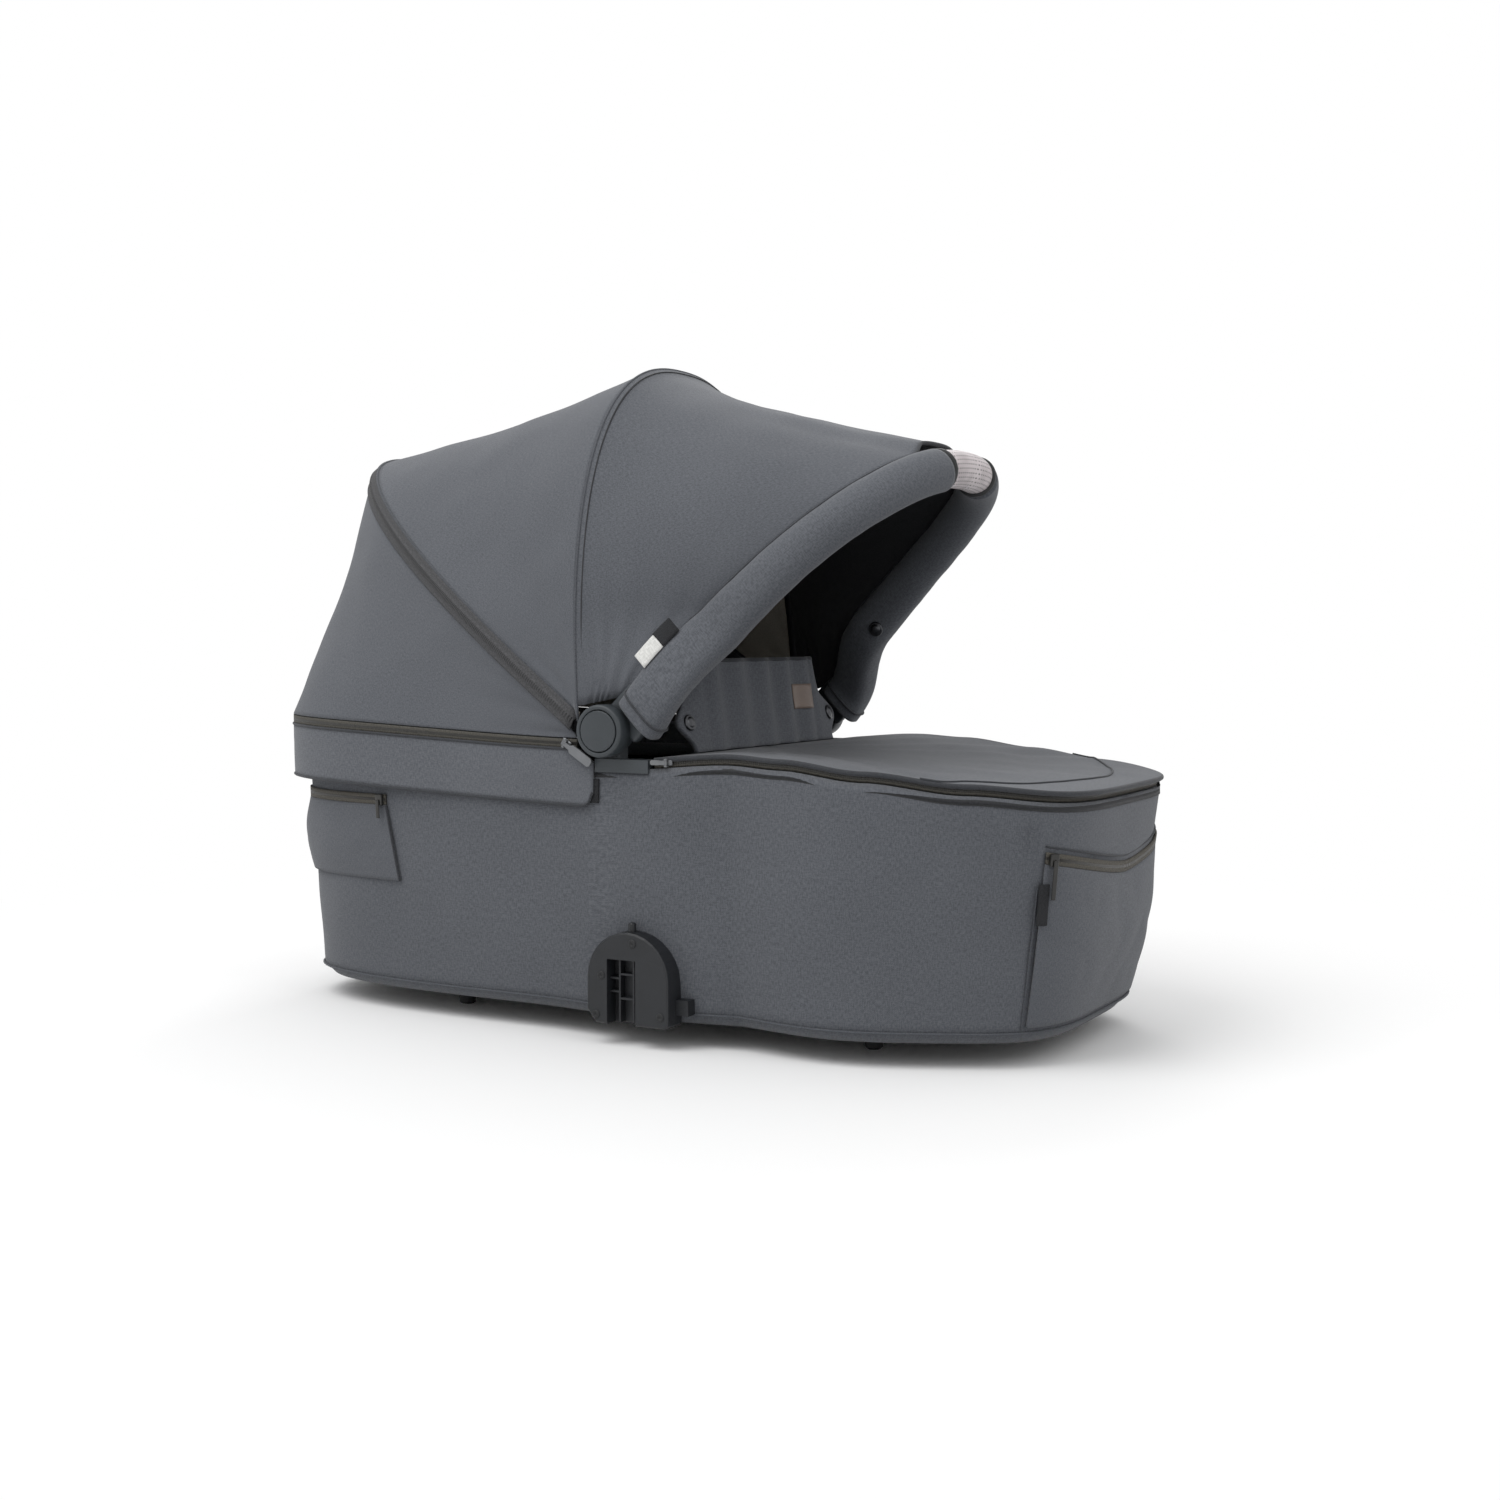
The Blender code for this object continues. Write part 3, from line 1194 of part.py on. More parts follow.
def make_apron():
    # A fan of strips from the rim to the middle of the front edge, crowned between.
    reach = share_at(APRON_START, 1)
    columns = 26
    row_shares = (0, 0.05, 0.16, 0.34, 0.62, 1)
    low = APRON_ZIP_HEIGHT + CLEARANCE

    def border(across):
        return angle_at(mix(-reach, reach, across))

    def place(across, inward):
        angle = border(across)
        x, y = outline_point(angle, 1, APRON_INSET)
        tip = APRON_TIP * smooth(x / RIM_LENGTH * 8 - 3)
        edge = Vector((x + tip, y, rim_height(x) + low + APRON_THICKNESS))
        share = row_shares[round(inward * (len(row_shares) - 1))]
        middle = Vector((APRON_START, 0, rim_height(APRON_START) + low + APRON_THICKNESS))
        crown = APRON_CROWN * math.sin(math.pi * across) * math.sin(math.pi * share ** 0.6)
        return edge.lerp(middle, share) + Vector((0, 0, crown))

    sheet("apron", columns, len(row_shares) - 1, place, APRON_THICKNESS, FABRIC, wrap=True)

    def tape_place(across, up):
        point = wall_at_drop(border(across), 0, APRON_ZIP_INSET)
        point.z += mix(CLEARANCE, APRON_ZIP_HEIGHT, up)
        return point

    sheet("apron_zip", columns, 1, tape_place, ZIP_TAPE_THICKNESS, ZIP_GREY)


def flap_foot():
    return rim_height(FLAP_X) + APRON_ZIP_HEIGHT + CLEARANCE + APRON_THICKNESS + APRON_CROWN * 0.1 + FLAP_FOOT_GAP


def flap_point(across, up):
    side = mix(-1, 1, across)
    height = FLAP_HEIGHT * up
    flat = smooth(8.5 - 10 * abs(side))
    fold = FLAP_FOLD_DEPTH * math.cos(2 * math.pi * FLAP_FOLDS * across) * flat
    ear = FLAP_EAR * bump((height - FLAP_EAR_HEIGHT) / FLAP_EAR_REACH) * side ** 12
    x = FLAP_X - FLAP_LEAN * up - FLAP_BOW * (1 - side * side) * up + fold
    return Vector((x, side * FLAP_WIDTH / 2 + math.copysign(ear, side), flap_foot() + height))


def popper(name, seat, turn):
    profile = [
        (0, POPPER_HEIGHT), (POPPER_RADIUS * 0.55, POPPER_HEIGHT), (POPPER_RADIUS * 0.8, POPPER_HEIGHT * 0.6),
        (POPPER_RADIUS, POPPER_HEIGHT * 0.5), (POPPER_RADIUS, 0), (0, 0),
    ]
    stud = turned(name, profile, 16, STEEL, 0.25, 1.0)
    stud.rotation_euler = turn
    stud.location = seat


def make_flap():
    sheet("wind_flap", 36, 4, flap_point, FLAP_THICKNESS, FABRIC)
    for label, side in SIDES.items():
        share = 0.98 if side > 0 else 0.02
        seat = flap_point(share, FLAP_EAR_HEIGHT / FLAP_HEIGHT)
        popper(f"flap_popper_{label}", seat + Vector((LAYER_GAP, 0, 0)), (0, math.pi / 2 - math.atan(FLAP_LEAN / FLAP_HEIGHT), 0))
        share = side * bow_share(FRONT_BOW, SLEEVE_POPPER_REACH)
        centre, out, back = bow_frame(FRONT_BOW, share)
        seat = centre - out * (sleeve_depth(SLEEVE_POPPER_REACH) / 2 + RUNNING_GAP) - back * sleeve_drop(SLEEVE_POPPER_REACH)
        popper(f"sleeve_popper_{label}", seat, (-out).to_track_quat("Z", "Y").to_euler())


clear_scene()
PARTS = make_collection("Carrycot")
CUTTERS = make_collection("Cutters")
OUTLINE_TABLE = outline_table()
COVER_ENVELOPE = make_cover_envelope()

make_base_tray()
make_cover()
make_rim_frame()
make_wall_board()
make_lining()
make_mattress()
make_uprights()
make_feet()
make_pockets()
make_band()
make_apron()
make_flap()
make_rear_panel()
make_middle_panel()
make_front_panel()
make_hood_tape()
make_bow_strips()
make_front_bow()
for side_label, side_sign in SIDES.items():
    make_hub(side_label, side_sign)
    make_adapter(side_label, side_sign)
make_sliders()
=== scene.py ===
import math
from collections import namedtuple
from math import cos, pi, sin

import bmesh
import bpy
import numpy as np
from mathutils import Matrix, Vector, noise


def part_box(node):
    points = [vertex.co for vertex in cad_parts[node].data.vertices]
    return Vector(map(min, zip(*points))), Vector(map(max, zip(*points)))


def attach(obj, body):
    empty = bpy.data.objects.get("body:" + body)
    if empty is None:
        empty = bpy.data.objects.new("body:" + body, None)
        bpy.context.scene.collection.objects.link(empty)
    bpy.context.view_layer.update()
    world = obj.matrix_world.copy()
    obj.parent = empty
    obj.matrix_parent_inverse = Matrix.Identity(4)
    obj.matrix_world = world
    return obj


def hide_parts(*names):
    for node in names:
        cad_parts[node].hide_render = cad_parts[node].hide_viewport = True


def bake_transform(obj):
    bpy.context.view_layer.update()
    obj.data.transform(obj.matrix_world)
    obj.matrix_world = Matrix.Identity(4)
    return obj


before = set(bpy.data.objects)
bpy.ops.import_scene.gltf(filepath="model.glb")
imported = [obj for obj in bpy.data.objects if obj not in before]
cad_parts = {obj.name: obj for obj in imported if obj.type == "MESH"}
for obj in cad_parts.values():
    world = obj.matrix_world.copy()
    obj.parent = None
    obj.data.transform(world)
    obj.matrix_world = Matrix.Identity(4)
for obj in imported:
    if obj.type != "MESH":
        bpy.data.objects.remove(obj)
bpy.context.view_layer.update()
print("frame loaded")


# Small maths

def mix(a, b, share):
    return a + (b - a) * share


def smooth(share):
    share = min(max(share, 0), 1)
    return share * share * (3 - 2 * share)


def hump(share):
    return 0 if abs(share) >= 1 else cos(pi * share / 2) ** 2


def signedPower(value, power):
    return math.copysign(abs(value) ** power, value)


def ripple(point, scale, amount, seed=0):
    return noise.noise(point * scale + Vector((seed, seed * 2, seed * 3))) * amount


def paint(red, green, blue):
    # A colour as a picker shows it, 0 to 255, in the renderer's linear values.
    def linear(value):
        value /= 255
        return value / 12.92 if value <= 0.04045 else ((value + 0.055) / 1.055) ** 2.4
    return linear(red), linear(green), linear(blue), 1


# The body's shape, which the covers, bands and pockets follow

body = {
    "rimLength": 0.848, "rimWidth": 0.415, "rimHeight": 0.256,
    "baseLength": 0.818, "baseWidth": 0.376, "baseShift": -0.012, "seamHeight": 0.031,
    "belly": 0.0015, "cornerPower": 4.2,
    "bulge": 0.012, "bulgeX": 0.030, "bulgeReach": 0.130,
    "waist": 0.018, "waistX": 0.220, "waistReach": 0.120, "rimCalm": 0.65,
    "ringRadius": 0.0089, "hem": 0.005, "slope": math.radians(50),
    "profile": ((-1, 0.965), (-0.15, 0.97), (0.05, 0.975), (0.30, 1), (0.42, 0.990), (0.60, 0.958),
                (0.80, 0.922), (1, 0.892)),  # along the tub from head to foot, share of the rim's height
}


def rimHeight(x):
    share = x / (body["rimLength"] / 2)
    for (start, low), (end, high) in zip(body["profile"], body["profile"][1:]):
        if share <= end:
            break
    return body["rimHeight"] * mix(low, high, smooth((share - start) / (end - start)))


def sideWave(x, level):
    wave = body["bulge"] * hump((x - body["bulgeX"]) / body["bulgeReach"])
    wave -= body["waist"] * hump((x - body["waistX"]) / body["waistReach"])
    return wave * (1 - body["rimCalm"] * level)


def outlinePoint(angle, level, inset=0):
    belly = body["belly"] * 4 * level * (1 - level)
    halfLength = mix(body["baseLength"], body["rimLength"], level) / 2 + belly - inset
    halfWidth = mix(body["baseWidth"], body["rimWidth"], level) / 2 + belly - inset
    power = 2 / body["cornerPower"]
    x = body["baseShift"] * (1 - level) + halfLength * signedPower(cos(angle), power)
    y = halfWidth * signedPower(sin(angle), power)
    return x, y + math.copysign(sideWave(x, level), y) * min(1, abs(y) / halfWidth * 2)


def wallPoint(angle, level, inset=0):
    x, y = outlinePoint(angle, level, inset)
    return Vector((x, y, mix(body["seamHeight"], rimHeight(x), level)))


def wallAt(angle, height, outset=0):
    x, _ = outlinePoint(angle, 1)
    level = (height - body["seamHeight"]) / (rimHeight(x) - body["seamHeight"])
    point = wallPoint(angle, level, -outset)
    point.z = height
    return point


def wallDrop(angle, drop, inset):
    x, y = outlinePoint(angle, 1, inset)
    return Vector((x, y, rimHeight(x) - drop))


def slopePoint(angle, height, depth):
    corner = body["seamHeight"] + depth * (1 - sin(body["slope"])) / cos(body["slope"])
    x, y = outlinePoint(angle, 0, depth + (corner - height) / math.tan(body["slope"]))
    return Vector((x, y, height))


def floorPoint(angle, inset, spread, height):
    x, y = outlinePoint(angle, 0, inset)
    return Vector((x * spread, y * spread, height))


def makeTable(steps=1440, evenShare=0.68):
    # Evens out the steps round the rim, so that corners get their share of columns.
    angles = [2 * pi * i / steps for i in range(steps + 1)]
    points = [Vector(outlinePoint(angle, 1)) for angle in angles]
    lengths = [0]
    for before, after in zip(points, points[1:]):
        lengths.append(lengths[-1] + (after - before).length)
    shares = [mix(angle / angles[-1], length / lengths[-1], evenShare)
              for angle, length in zip(angles, lengths)]
    return angles, shares, lengths[-1]


tableAngles, tableShares, rimRound = makeTable()


def angleAt(share):
    return float(np.interp(share if share == 1 else share % 1, tableShares, tableAngles))


def shareAt(x, side):
    along = min(abs(x) / (body["rimLength"] / 2), 1) * (1 if x > 0 else -1)
    angle = math.acos(signedPower(along, body["cornerPower"] / 2))
    return float(np.interp(angle if side > 0 else 2 * pi - angle, tableAngles, tableShares))


# The hood's three bows: reach from the pivot, lean, half width, roundness, shift, backward arch, flare

Bow = namedtuple("Bow", "radius lean halfWidth power shift arch flare")
hub = {"x": 0.005, "z": 0.284, "face": 0.229, "radius": 0.0238, "depth": 0.019,
       "button": 0.0185, "buttonGap": 0.0008, "buttonPocket": 0.0096,
       "armInner": 0.2005, "armLow": (0.011, -0.0265, 0), "armHigh": (0.047, 0.0160, 0.0115),
       "armBevel": 0.004}
frontBow = Bow(0.3455, math.radians(43.5), 0.165, 2.6, 0.002, 0.011, 0.041)
middleBow = Bow(0.3482, math.radians(93.5), 0.219, 2.4, -0.027, 0, 0)
rearBow = Bow(0.446, math.radians(143.4), 0.216, 2.4, -0.0225, 0, 0)
flareSpan = (0.042, 0.130)  # reach over which the front bow's ends come in from the hubs
pivot = Vector((hub["x"], 0, hub["z"]))


def bowPoint(bow, share, back=0, rise=0):
    angle = pi / 2 * max(1 - abs(share), 0)
    reach = (bow.radius + rise) * sin(angle) ** (2 / bow.power)
    side = bow.halfWidth * abs(cos(angle)) ** (2 / bow.power)
    side += bow.flare * (1 - smooth((reach - flareSpan[0]) / (flareSpan[1] - flareSpan[0])))
    back += bow.arch * sin(pi * min(reach / bow.radius, 1))
    x = hub["x"] + bow.shift + reach * cos(bow.lean) - back * sin(bow.lean)
    z = hub["z"] + reach * sin(bow.lean) + back * cos(bow.lean)
    return Vector((x, math.copysign(side, share), z))


def bowShare(bow, reach):
    return 1 - math.asin(min(1, (reach / bow.radius) ** (bow.power / 2))) / (pi / 2)


def bowReach(bow, share):
    return bow.radius * sin(pi / 2 * (1 - abs(share))) ** (2 / bow.power)


def shareAtSide(bow, side):
    return 1 - math.acos((side / bow.halfWidth) ** (bow.power / 2)) / (pi / 2)


def bowFrame(bow, share):
    step = 0.01
    centre = bowPoint(bow, share)
    tangent = bowPoint(bow, share + step) - bowPoint(bow, share - step)
    back = Vector((-sin(bow.lean), 0, cos(bow.lean)))
    out = tangent.cross(back).normalized()
    if out.dot(centre - pivot) < 0:
        out.negate()
    return centre, out, back


def bowSection(bow, share, around, width, depth, drop=0, power=2):
    centre, out, back = bowFrame(bow, share)
    turn = 2 * pi * around
    across = width / 2 * signedPower(cos(turn), 2 / power) - drop
    return centre + back * across + out * depth / 2 * signedPower(sin(turn), 2 / power)


# Shader maths

class Value:
    # One shader socket that can be used in sums.
    def __init__(self, shader, socket):
        self.shader = shader
        self.socket = socket

    def math(self, operation, *values):
        return self.shader.node("ShaderNodeMath", {"operation": operation}, dict(enumerate(values)))

    def __add__(self, other):
        return self.math("ADD", self, other)

    def __sub__(self, other):
        return self.math("SUBTRACT", self, other)

    def __mul__(self, other):
        return self.math("MULTIPLY", self, other)

    def __truediv__(self, other):
        return self.math("DIVIDE", self, other)

    def __pow__(self, other):
        return self.math("POWER", self, other)

    def __rsub__(self, other):
        return self.math("SUBTRACT", other, self)

    def __rtruediv__(self, other):
        return self.math("DIVIDE", other, self)

    __radd__ = __add__
    __rmul__ = __mul__

    def sin(self):
        return self.math("SINE", self)

    def abs(self):
        return self.math("ABSOLUTE", self)

    def floor(self):
        return self.math("FLOOR", self)

    def fract(self):
        return self.math("FRACT", self)

    def ramp(self, low, high, start=0, end=1):
        return self.shader.node("ShaderNodeMapRange", {"interpolation_type": "SMOOTHSTEP"},
                                dict(enumerate((self, low, high, start, end))))


class Shader:
    def __init__(self, name, roughness, metallic=0.0, **constants):
        self.material = bpy.data.materials.new(name)
        self.material.use_nodes = True
        self.tree = self.material.node_tree
        self.surface = self.tree.nodes["Principled BSDF"]
        self.surface.inputs["Roughness"].default_value = roughness
        self.surface.inputs["Metallic"].default_value = metallic
        for key, value in constants.items():
            self.surface.inputs[key.replace("_", " ")].default_value = value

    def node(self, kind, settings, sockets, output=0):
        node = self.tree.nodes.new(kind)
        for key, value in settings.items():
            setattr(node, key, value)
        for key, value in sockets.items():
            if isinstance(value, Value):
                self.tree.links.new(value.socket, node.inputs[key])
            else:
                node.inputs[key].default_value = value
        return Value(self, node.outputs[output])

    def set(self, name, value):
        self.tree.links.new(value.socket, self.surface.inputs[name])

    def coordinate(self, kind="Object"):
        return self.node("ShaderNodeTexCoord", {}, {}, kind)

    def split(self, vector):
        first = self.node("ShaderNodeSeparateXYZ", {}, {0: vector})
        return [Value(self, output) for output in first.socket.node.outputs]

    def stretch(self, vector, scale):
        return self.node("ShaderNodeVectorMath", {"operation": "MULTIPLY"}, {0: vector, 1: scale})

    def noise(self, vector, scale, detail=3.0, roughness=0.5):
        return self.node("ShaderNodeTexNoise", {}, {"Vector": vector, "Scale": scale, "Detail": detail,
                                                    "Roughness": roughness})

    def colours(self, low, high, share):
        return self.node("ShaderNodeMix", {"data_type": "RGBA"}, {0: share, 6: low, 7: high}, 2)

    def bump(self, height, distance, strength=1.0, **normal):
        return self.node("ShaderNodeBump", {}, {"Strength": strength, "Distance": distance, "Height": height,
                                                **normal})


weave = {"fleck": 1500.0, "cloud": 9.0, "twill": 3900, "crease": 20.0, "roughness": 0.88,
         "sheen": 0.15, "sheenRoughness": 0.5, "fineDepth": 0.0004, "fineBump": 0.28, "creaseBump": 0.6}


def wovenMaterial(name, dark, light, streak=(900, 260), wrinkle=0.0004):
    # A melange cloth: light and dark yarns, a fine twill and faint handling creases.
    shader = Shader(name, weave["roughness"], Sheen_Weight=weave["sheen"],
                    Sheen_Roughness=weave["sheenRoughness"])
    place = shader.coordinate("UV")
    solid = shader.coordinate()
    along, across = streak
    warp = shader.noise(shader.stretch(place, (along, across, along)), 1.0, 2.0, 0.6)
    weft = shader.noise(shader.stretch(place, (across, along, across)), 1.0, 2.0, 0.6)
    fleck = shader.noise(place, weave["fleck"], 1.0)
    cloud = shader.noise(solid, weave["cloud"], 4.0)
    tone = (warp * 0.45 + weft * 0.35 + fleck * 0.2).ramp(0.38, 0.62)
    shade = tone * 0.88 + cloud.ramp(0.3, 0.7) * 0.12
    shader.set("Base Color", shader.colours(paint(*dark), paint(*light), shade))
    u, v, _ = shader.split(place)
    twill = ((u + v) * weave["twill"]).sin() * 0.5 + 0.5
    shader.set("Roughness", twill * 0.05 + weave["roughness"] - 0.02)
    fine = shader.bump(twill * 0.5 + tone * 0.5, weave["fineDepth"], weave["fineBump"])
    crease = shader.noise(solid, weave["crease"], 3.0, 0.45)
    shader.set("Normal", shader.bump(crease, wrinkle, weave["creaseBump"], Normal=fine))
    return shader.material


def zipMaterial(name, dark, light, teeth, width):
    # Woven tape with a row of small coils along its middle.
    shader = Shader(name, 0.7)
    place = shader.coordinate("UV")
    u, v, _ = shader.split(place)
    row = 1 - (v - width / 2).abs().ramp(0.0011, 0.0016)
    coil = (u * 3800).sin() * 0.5 + 0.5
    yarn = shader.noise(shader.stretch(place, (1300, 500, 1)), 1.0, 2.0)
    tape = shader.colours(paint(*dark), paint(*light), yarn.ramp(0.35, 0.65))
    shader.set("Base Color", shader.colours(tape, paint(*teeth), row * (coil * 0.6 + 0.4)))
    shader.set("Roughness", 0.75 - row * 0.3)
    shader.set("Normal", shader.bump(row * coil + yarn * 0.15, 0.0007))
    return shader.material


def plasticMaterial(name, dark, light, roughness=0.5, grain=0.00012, metallic=0.0, scale=1400.0):
    # Plastic and metal: a fine moulded grain and faint wear in colour and gloss.
    shader = Shader(name, roughness, metallic)
    place = shader.coordinate()
    fine = shader.noise(place, scale, 2.0)
    wear = shader.noise(place, 26.0, 4.0)
    shade = wear.ramp(0.3, 0.7) * 0.6 + fine * 0.4
    shader.set("Base Color", shader.colours(paint(*dark), paint(*light), shade))
    shader.set("Roughness", wear * 0.12 + roughness - 0.06)
    shader.set("Normal", shader.bump(fine, grain))
    return shader.material


def leatherMaterial(name, dark, light, inHole, pitch=0.0042):
    # Soft leather-look cover with rows of round holes, each row half a pitch on from the last.
    shader = Shader(name, 0.55, Coat_Weight=0.08)
    place = shader.coordinate("UV")
    u, v, _ = shader.split(place)
    along = (u / pitch + (v / pitch).floor() * 0.5).fract() - 0.5
    across = (v / pitch).fract() - 0.5
    hole = 1 - ((along * along + across * across) ** 0.5).ramp(0.15, 0.21)
    pebble = shader.node("ShaderNodeTexVoronoi", {"feature": "DISTANCE_TO_EDGE"},
                         {"Vector": place, "Scale": 900.0})
    tone = shader.noise(shader.coordinate(), 60.0, 4.0)
    skin = shader.colours(paint(*dark), paint(*light), tone.ramp(0.35, 0.65))
    shader.set("Base Color", shader.colours(skin, paint(*inHole), hole))
    shader.set("Roughness", 0.52 + hole * 0.3)
    shader.set("Normal", shader.bump(pebble.ramp(0, 0.12) * 0.25 - hole, 0.0005))
    return shader.material


finishes = {
    "shell": wovenMaterial("shellFabric", (77, 80, 86), (102, 105, 111)),
    "band": wovenMaterial("bandFabric", (84, 87, 93), (110, 113, 119)),
    "taupe": wovenMaterial("hoodLining", (128, 123, 114), (160, 154, 144), wrinkle=0.0010),
    "lining": wovenMaterial("cabinLining", (24, 25, 28), (44, 45, 49), wrinkle=0.0020),
    "piping": wovenMaterial("pipingFabric", (42, 44, 48), (64, 66, 71), streak=(500, 1400)),
    "seam": wovenMaterial("seamFabric", (60, 63, 69), (88, 91, 97), streak=(500, 1400)),
    "mattress": wovenMaterial("mattressFabric", (196, 194, 188), (222, 220, 214)),
    "white": wovenMaterial("labelTape", (206, 206, 203), (232, 232, 229)),
    "zip": zipMaterial("zipTape", (60, 58, 53), (86, 83, 76), (46, 45, 43), 0.008),
    "hoodZip": zipMaterial("hoodZipTape", (60, 60, 62), (80, 80, 82), (44, 44, 46), 0.015),
    "pocketZip": zipMaterial("pocketZipTape", (62, 59, 53), (92, 88, 80), (48, 46, 44), 0.010),
    "plastic": plasticMaterial("hubPlastic", (54, 59, 63), (66, 71, 75), 0.48),
    "adapter": plasticMaterial("adapterPlastic", (24, 26, 29), (36, 38, 42), 0.5),
    "black": plasticMaterial("blackPlastic", (22, 23, 25), (36, 37, 39), 0.55),
    "tray": plasticMaterial("trayPlastic", (30, 31, 33), (44, 45, 48), 0.6, 0.0003),
    # Dark cloth for the hanging tab and the label's upper part, also used as painted shadow beside the band's ends.
    "patch": plasticMaterial("darkClothAndShadow", (26, 27, 30), (50, 51, 54), 0.9, 0.0012, 0.0, 900.0),
    "pull": plasticMaterial("pullMetal", (104, 106, 109), (134, 136, 139), 0.36, 0.00005, 0.4),
    "coated": plasticMaterial("coatedMetal", (44, 45, 48), (62, 63, 66), 0.45, 0.0001, 0.3),
    "popper": plasticMaterial("popperMetal", (70, 71, 74), (104, 105, 108), 0.3, 0.00005, 0.9),
    "slider": plasticMaterial("sliderMetal", (52, 52, 52), (78, 77, 75), 0.36, 0.00005, 0.7),
    "leather": leatherMaterial("gripLeather", (202, 193, 195), (222, 213, 215), (48, 44, 42)),
    "plate": plasticMaterial("plateLeather", (118, 104, 96), (142, 126, 116), 0.5, 0.0004, 0.0, 700.0),
}
sides = (("Left", 1), ("Right", -1))
print("materials made")


# Piece builders

def makePiece(name, build):
    for face in build.faces:
        face.smooth = True
    mesh = bpy.data.meshes.new(name)
    build.to_mesh(mesh)
    build.free()
    piece = bpy.data.objects.new(name, mesh)
    bpy.context.scene.collection.objects.link(piece)
    return piece


def placedGrid(columns, rows, place, size):
    # place(across, up) sets each grid point; size is the cloth's width and height for its weave.
    build = bmesh.new()
    bmesh.ops.create_grid(build, x_segments=columns, y_segments=rows, size=0.5, calc_uvs=True)
    layer = build.loops.layers.uv.verify()
    for face in build.faces:
        for corner in face.loops:
            spot = corner.vert.co
            corner[layer].uv = ((spot.x + 0.5) * size[0], (spot.y + 0.5) * size[1])
    for vert in build.verts:
        vert.co = place(min(max(vert.co.x + 0.5, 0), 1), min(max(vert.co.y + 0.5, 0), 1))
    return build


def gridPiece(name, columns, rows, place, size, thickness, loop=False, inside=False):
    # A sheet of cloth; inside gives its back the second finish.
    build = placedGrid(columns, rows, place, size)
    if loop:
        bmesh.ops.remove_doubles(build, verts=build.verts, dist=1e-5)
    piece = makePiece(name, build)
    shell = piece.modifiers.new("thickness", "SOLIDIFY")
    shell.thickness = thickness
    shell.offset = -1
    shell.use_even_offset = False
    shell.material_offset = 1 if inside else 0
    return piece


def tubePiece(name, steps, ring, place, size, loop=False):
    # place(along, around) sets each point of a closed section; open ends are capped.
    build = placedGrid(steps, ring, place, size)
    bmesh.ops.remove_doubles(build, verts=build.verts, dist=1e-6)
    if not loop:
        bmesh.ops.holes_fill(build, edges=[edge for edge in build.edges if edge.is_boundary], sides=0)
    bmesh.ops.recalc_face_normals(build, faces=build.faces)
    return makePiece(name, build)


def spinPiece(name, profile, steps, matrix):
    # profile is (radius, height) pairs, turned about the matrix's own Z.
    build = bmesh.new()
    verts = [build.verts.new((radius, 0, height)) for radius, height in profile]
    edges = [build.edges.new(pair) for pair in zip(verts, verts[1:])]
    bmesh.ops.spin(build, geom=verts + edges, cent=(0, 0, 0), axis=(0, 0, 1), angle=2 * pi,
                   steps=steps, use_merge=True)
    bmesh.ops.remove_doubles(build, verts=build.verts, dist=1e-6)
    bmesh.ops.recalc_face_normals(build, faces=build.faces)
    build.transform(matrix)
    return makePiece(name, build)


def blockPiece(name, low, high, bevel, matrix):
    build = bmesh.new()
    bmesh.ops.create_cube(build, size=1)
    bmesh.ops.scale(build, vec=[b - a for a, b in zip(low, high)], verts=build.verts)
    bmesh.ops.translate(build, vec=[(a + b) / 2 for a, b in zip(low, high)], verts=build.verts)
    bmesh.ops.bevel(build, geom=build.edges, offset=bevel, segments=3, profile=0.5, affect="EDGES",
                    material=-1)
    build.transform(matrix)
    return makePiece(name, build)


def dress(piece, *names, carrier="tub", stands=()):
    for name in names:
        piece.data.materials.append(finishes[name])
    if carrier:
        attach(piece, carrier)
    if stands:
        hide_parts(*stands)
    return piece


def declareSheet(piece, flat):
    area = sum(face.area for face in piece.data.polygons)
    print("sheet", piece.name, flat, round(area, 4))
    min(area, flat[0] * flat[1])


def piping(name, steps, path, radius, length, carrier="tub", finish="piping", loop=False):
    # A round cord of cloth along path(share).
    step = 0.5 / steps

    def place(along, around):
        if loop:
            ahead, behind = path((along + step) % 1), path((along - step) % 1)
        else:
            ahead, behind = path(min(along + step, 1)), path(max(along - step, 0))
        tangent = (ahead - behind).normalized()
        side = tangent.cross(Vector((0.02, 0.03, 1))).normalized()
        turn = 2 * pi * around
        return path(along) + (side * cos(turn) + side.cross(tangent) * sin(turn)) * radius
    piece = tubePiece(name, steps, 10, place, (length, 2 * pi * radius), loop)
    return dress(piece, finish, carrier=carrier)


def ringRows(rows):
    # Each row of a grid round the body has its own rule, which takes the angle.
    last = len(rows) - 1
    return last, lambda across, up: rows[round(up * last)](angleAt(across))


# Outer cover

cover = {"columns": 420, "wallRows": 26, "rollRows": 8, "thickness": 0.0025, "height": 0.28237,
         "underHeight": 0.0207, "underDepth": 0.016, "turnHeight": 0.0215, "wrinkle": 0.0030,
         "gather": 0.0014, "gathers": 150, "gatherStart": 0.80, "gatherReach": 0.22,
         "bottomSeam": 0.0012, "sideSeam": 0.0008, "sideSeamX": 0.396, "sideSeamSpan": (0.034, 0.158),
         "flat": (2.30, 0.33)}


def coverSwell(angle, level):
    point = wallPoint(angle, level)
    calm = max(sin(pi * level), 0)
    soft = ripple(point, 9, cover["wrinkle"]) + ripple(point, 24, cover["wrinkle"] * 0.35, 3)
    corner = hump((abs(cos(angle)) - cover["gatherStart"]) / cover["gatherReach"])
    gathers = cover["gather"] * corner * sin(angle * cover["gathers"]) * smooth((level - 0.6) / 0.3)
    return calm * soft * smooth(level / 0.1) + gathers * (1 - smooth((level - 0.88) / 0.08))


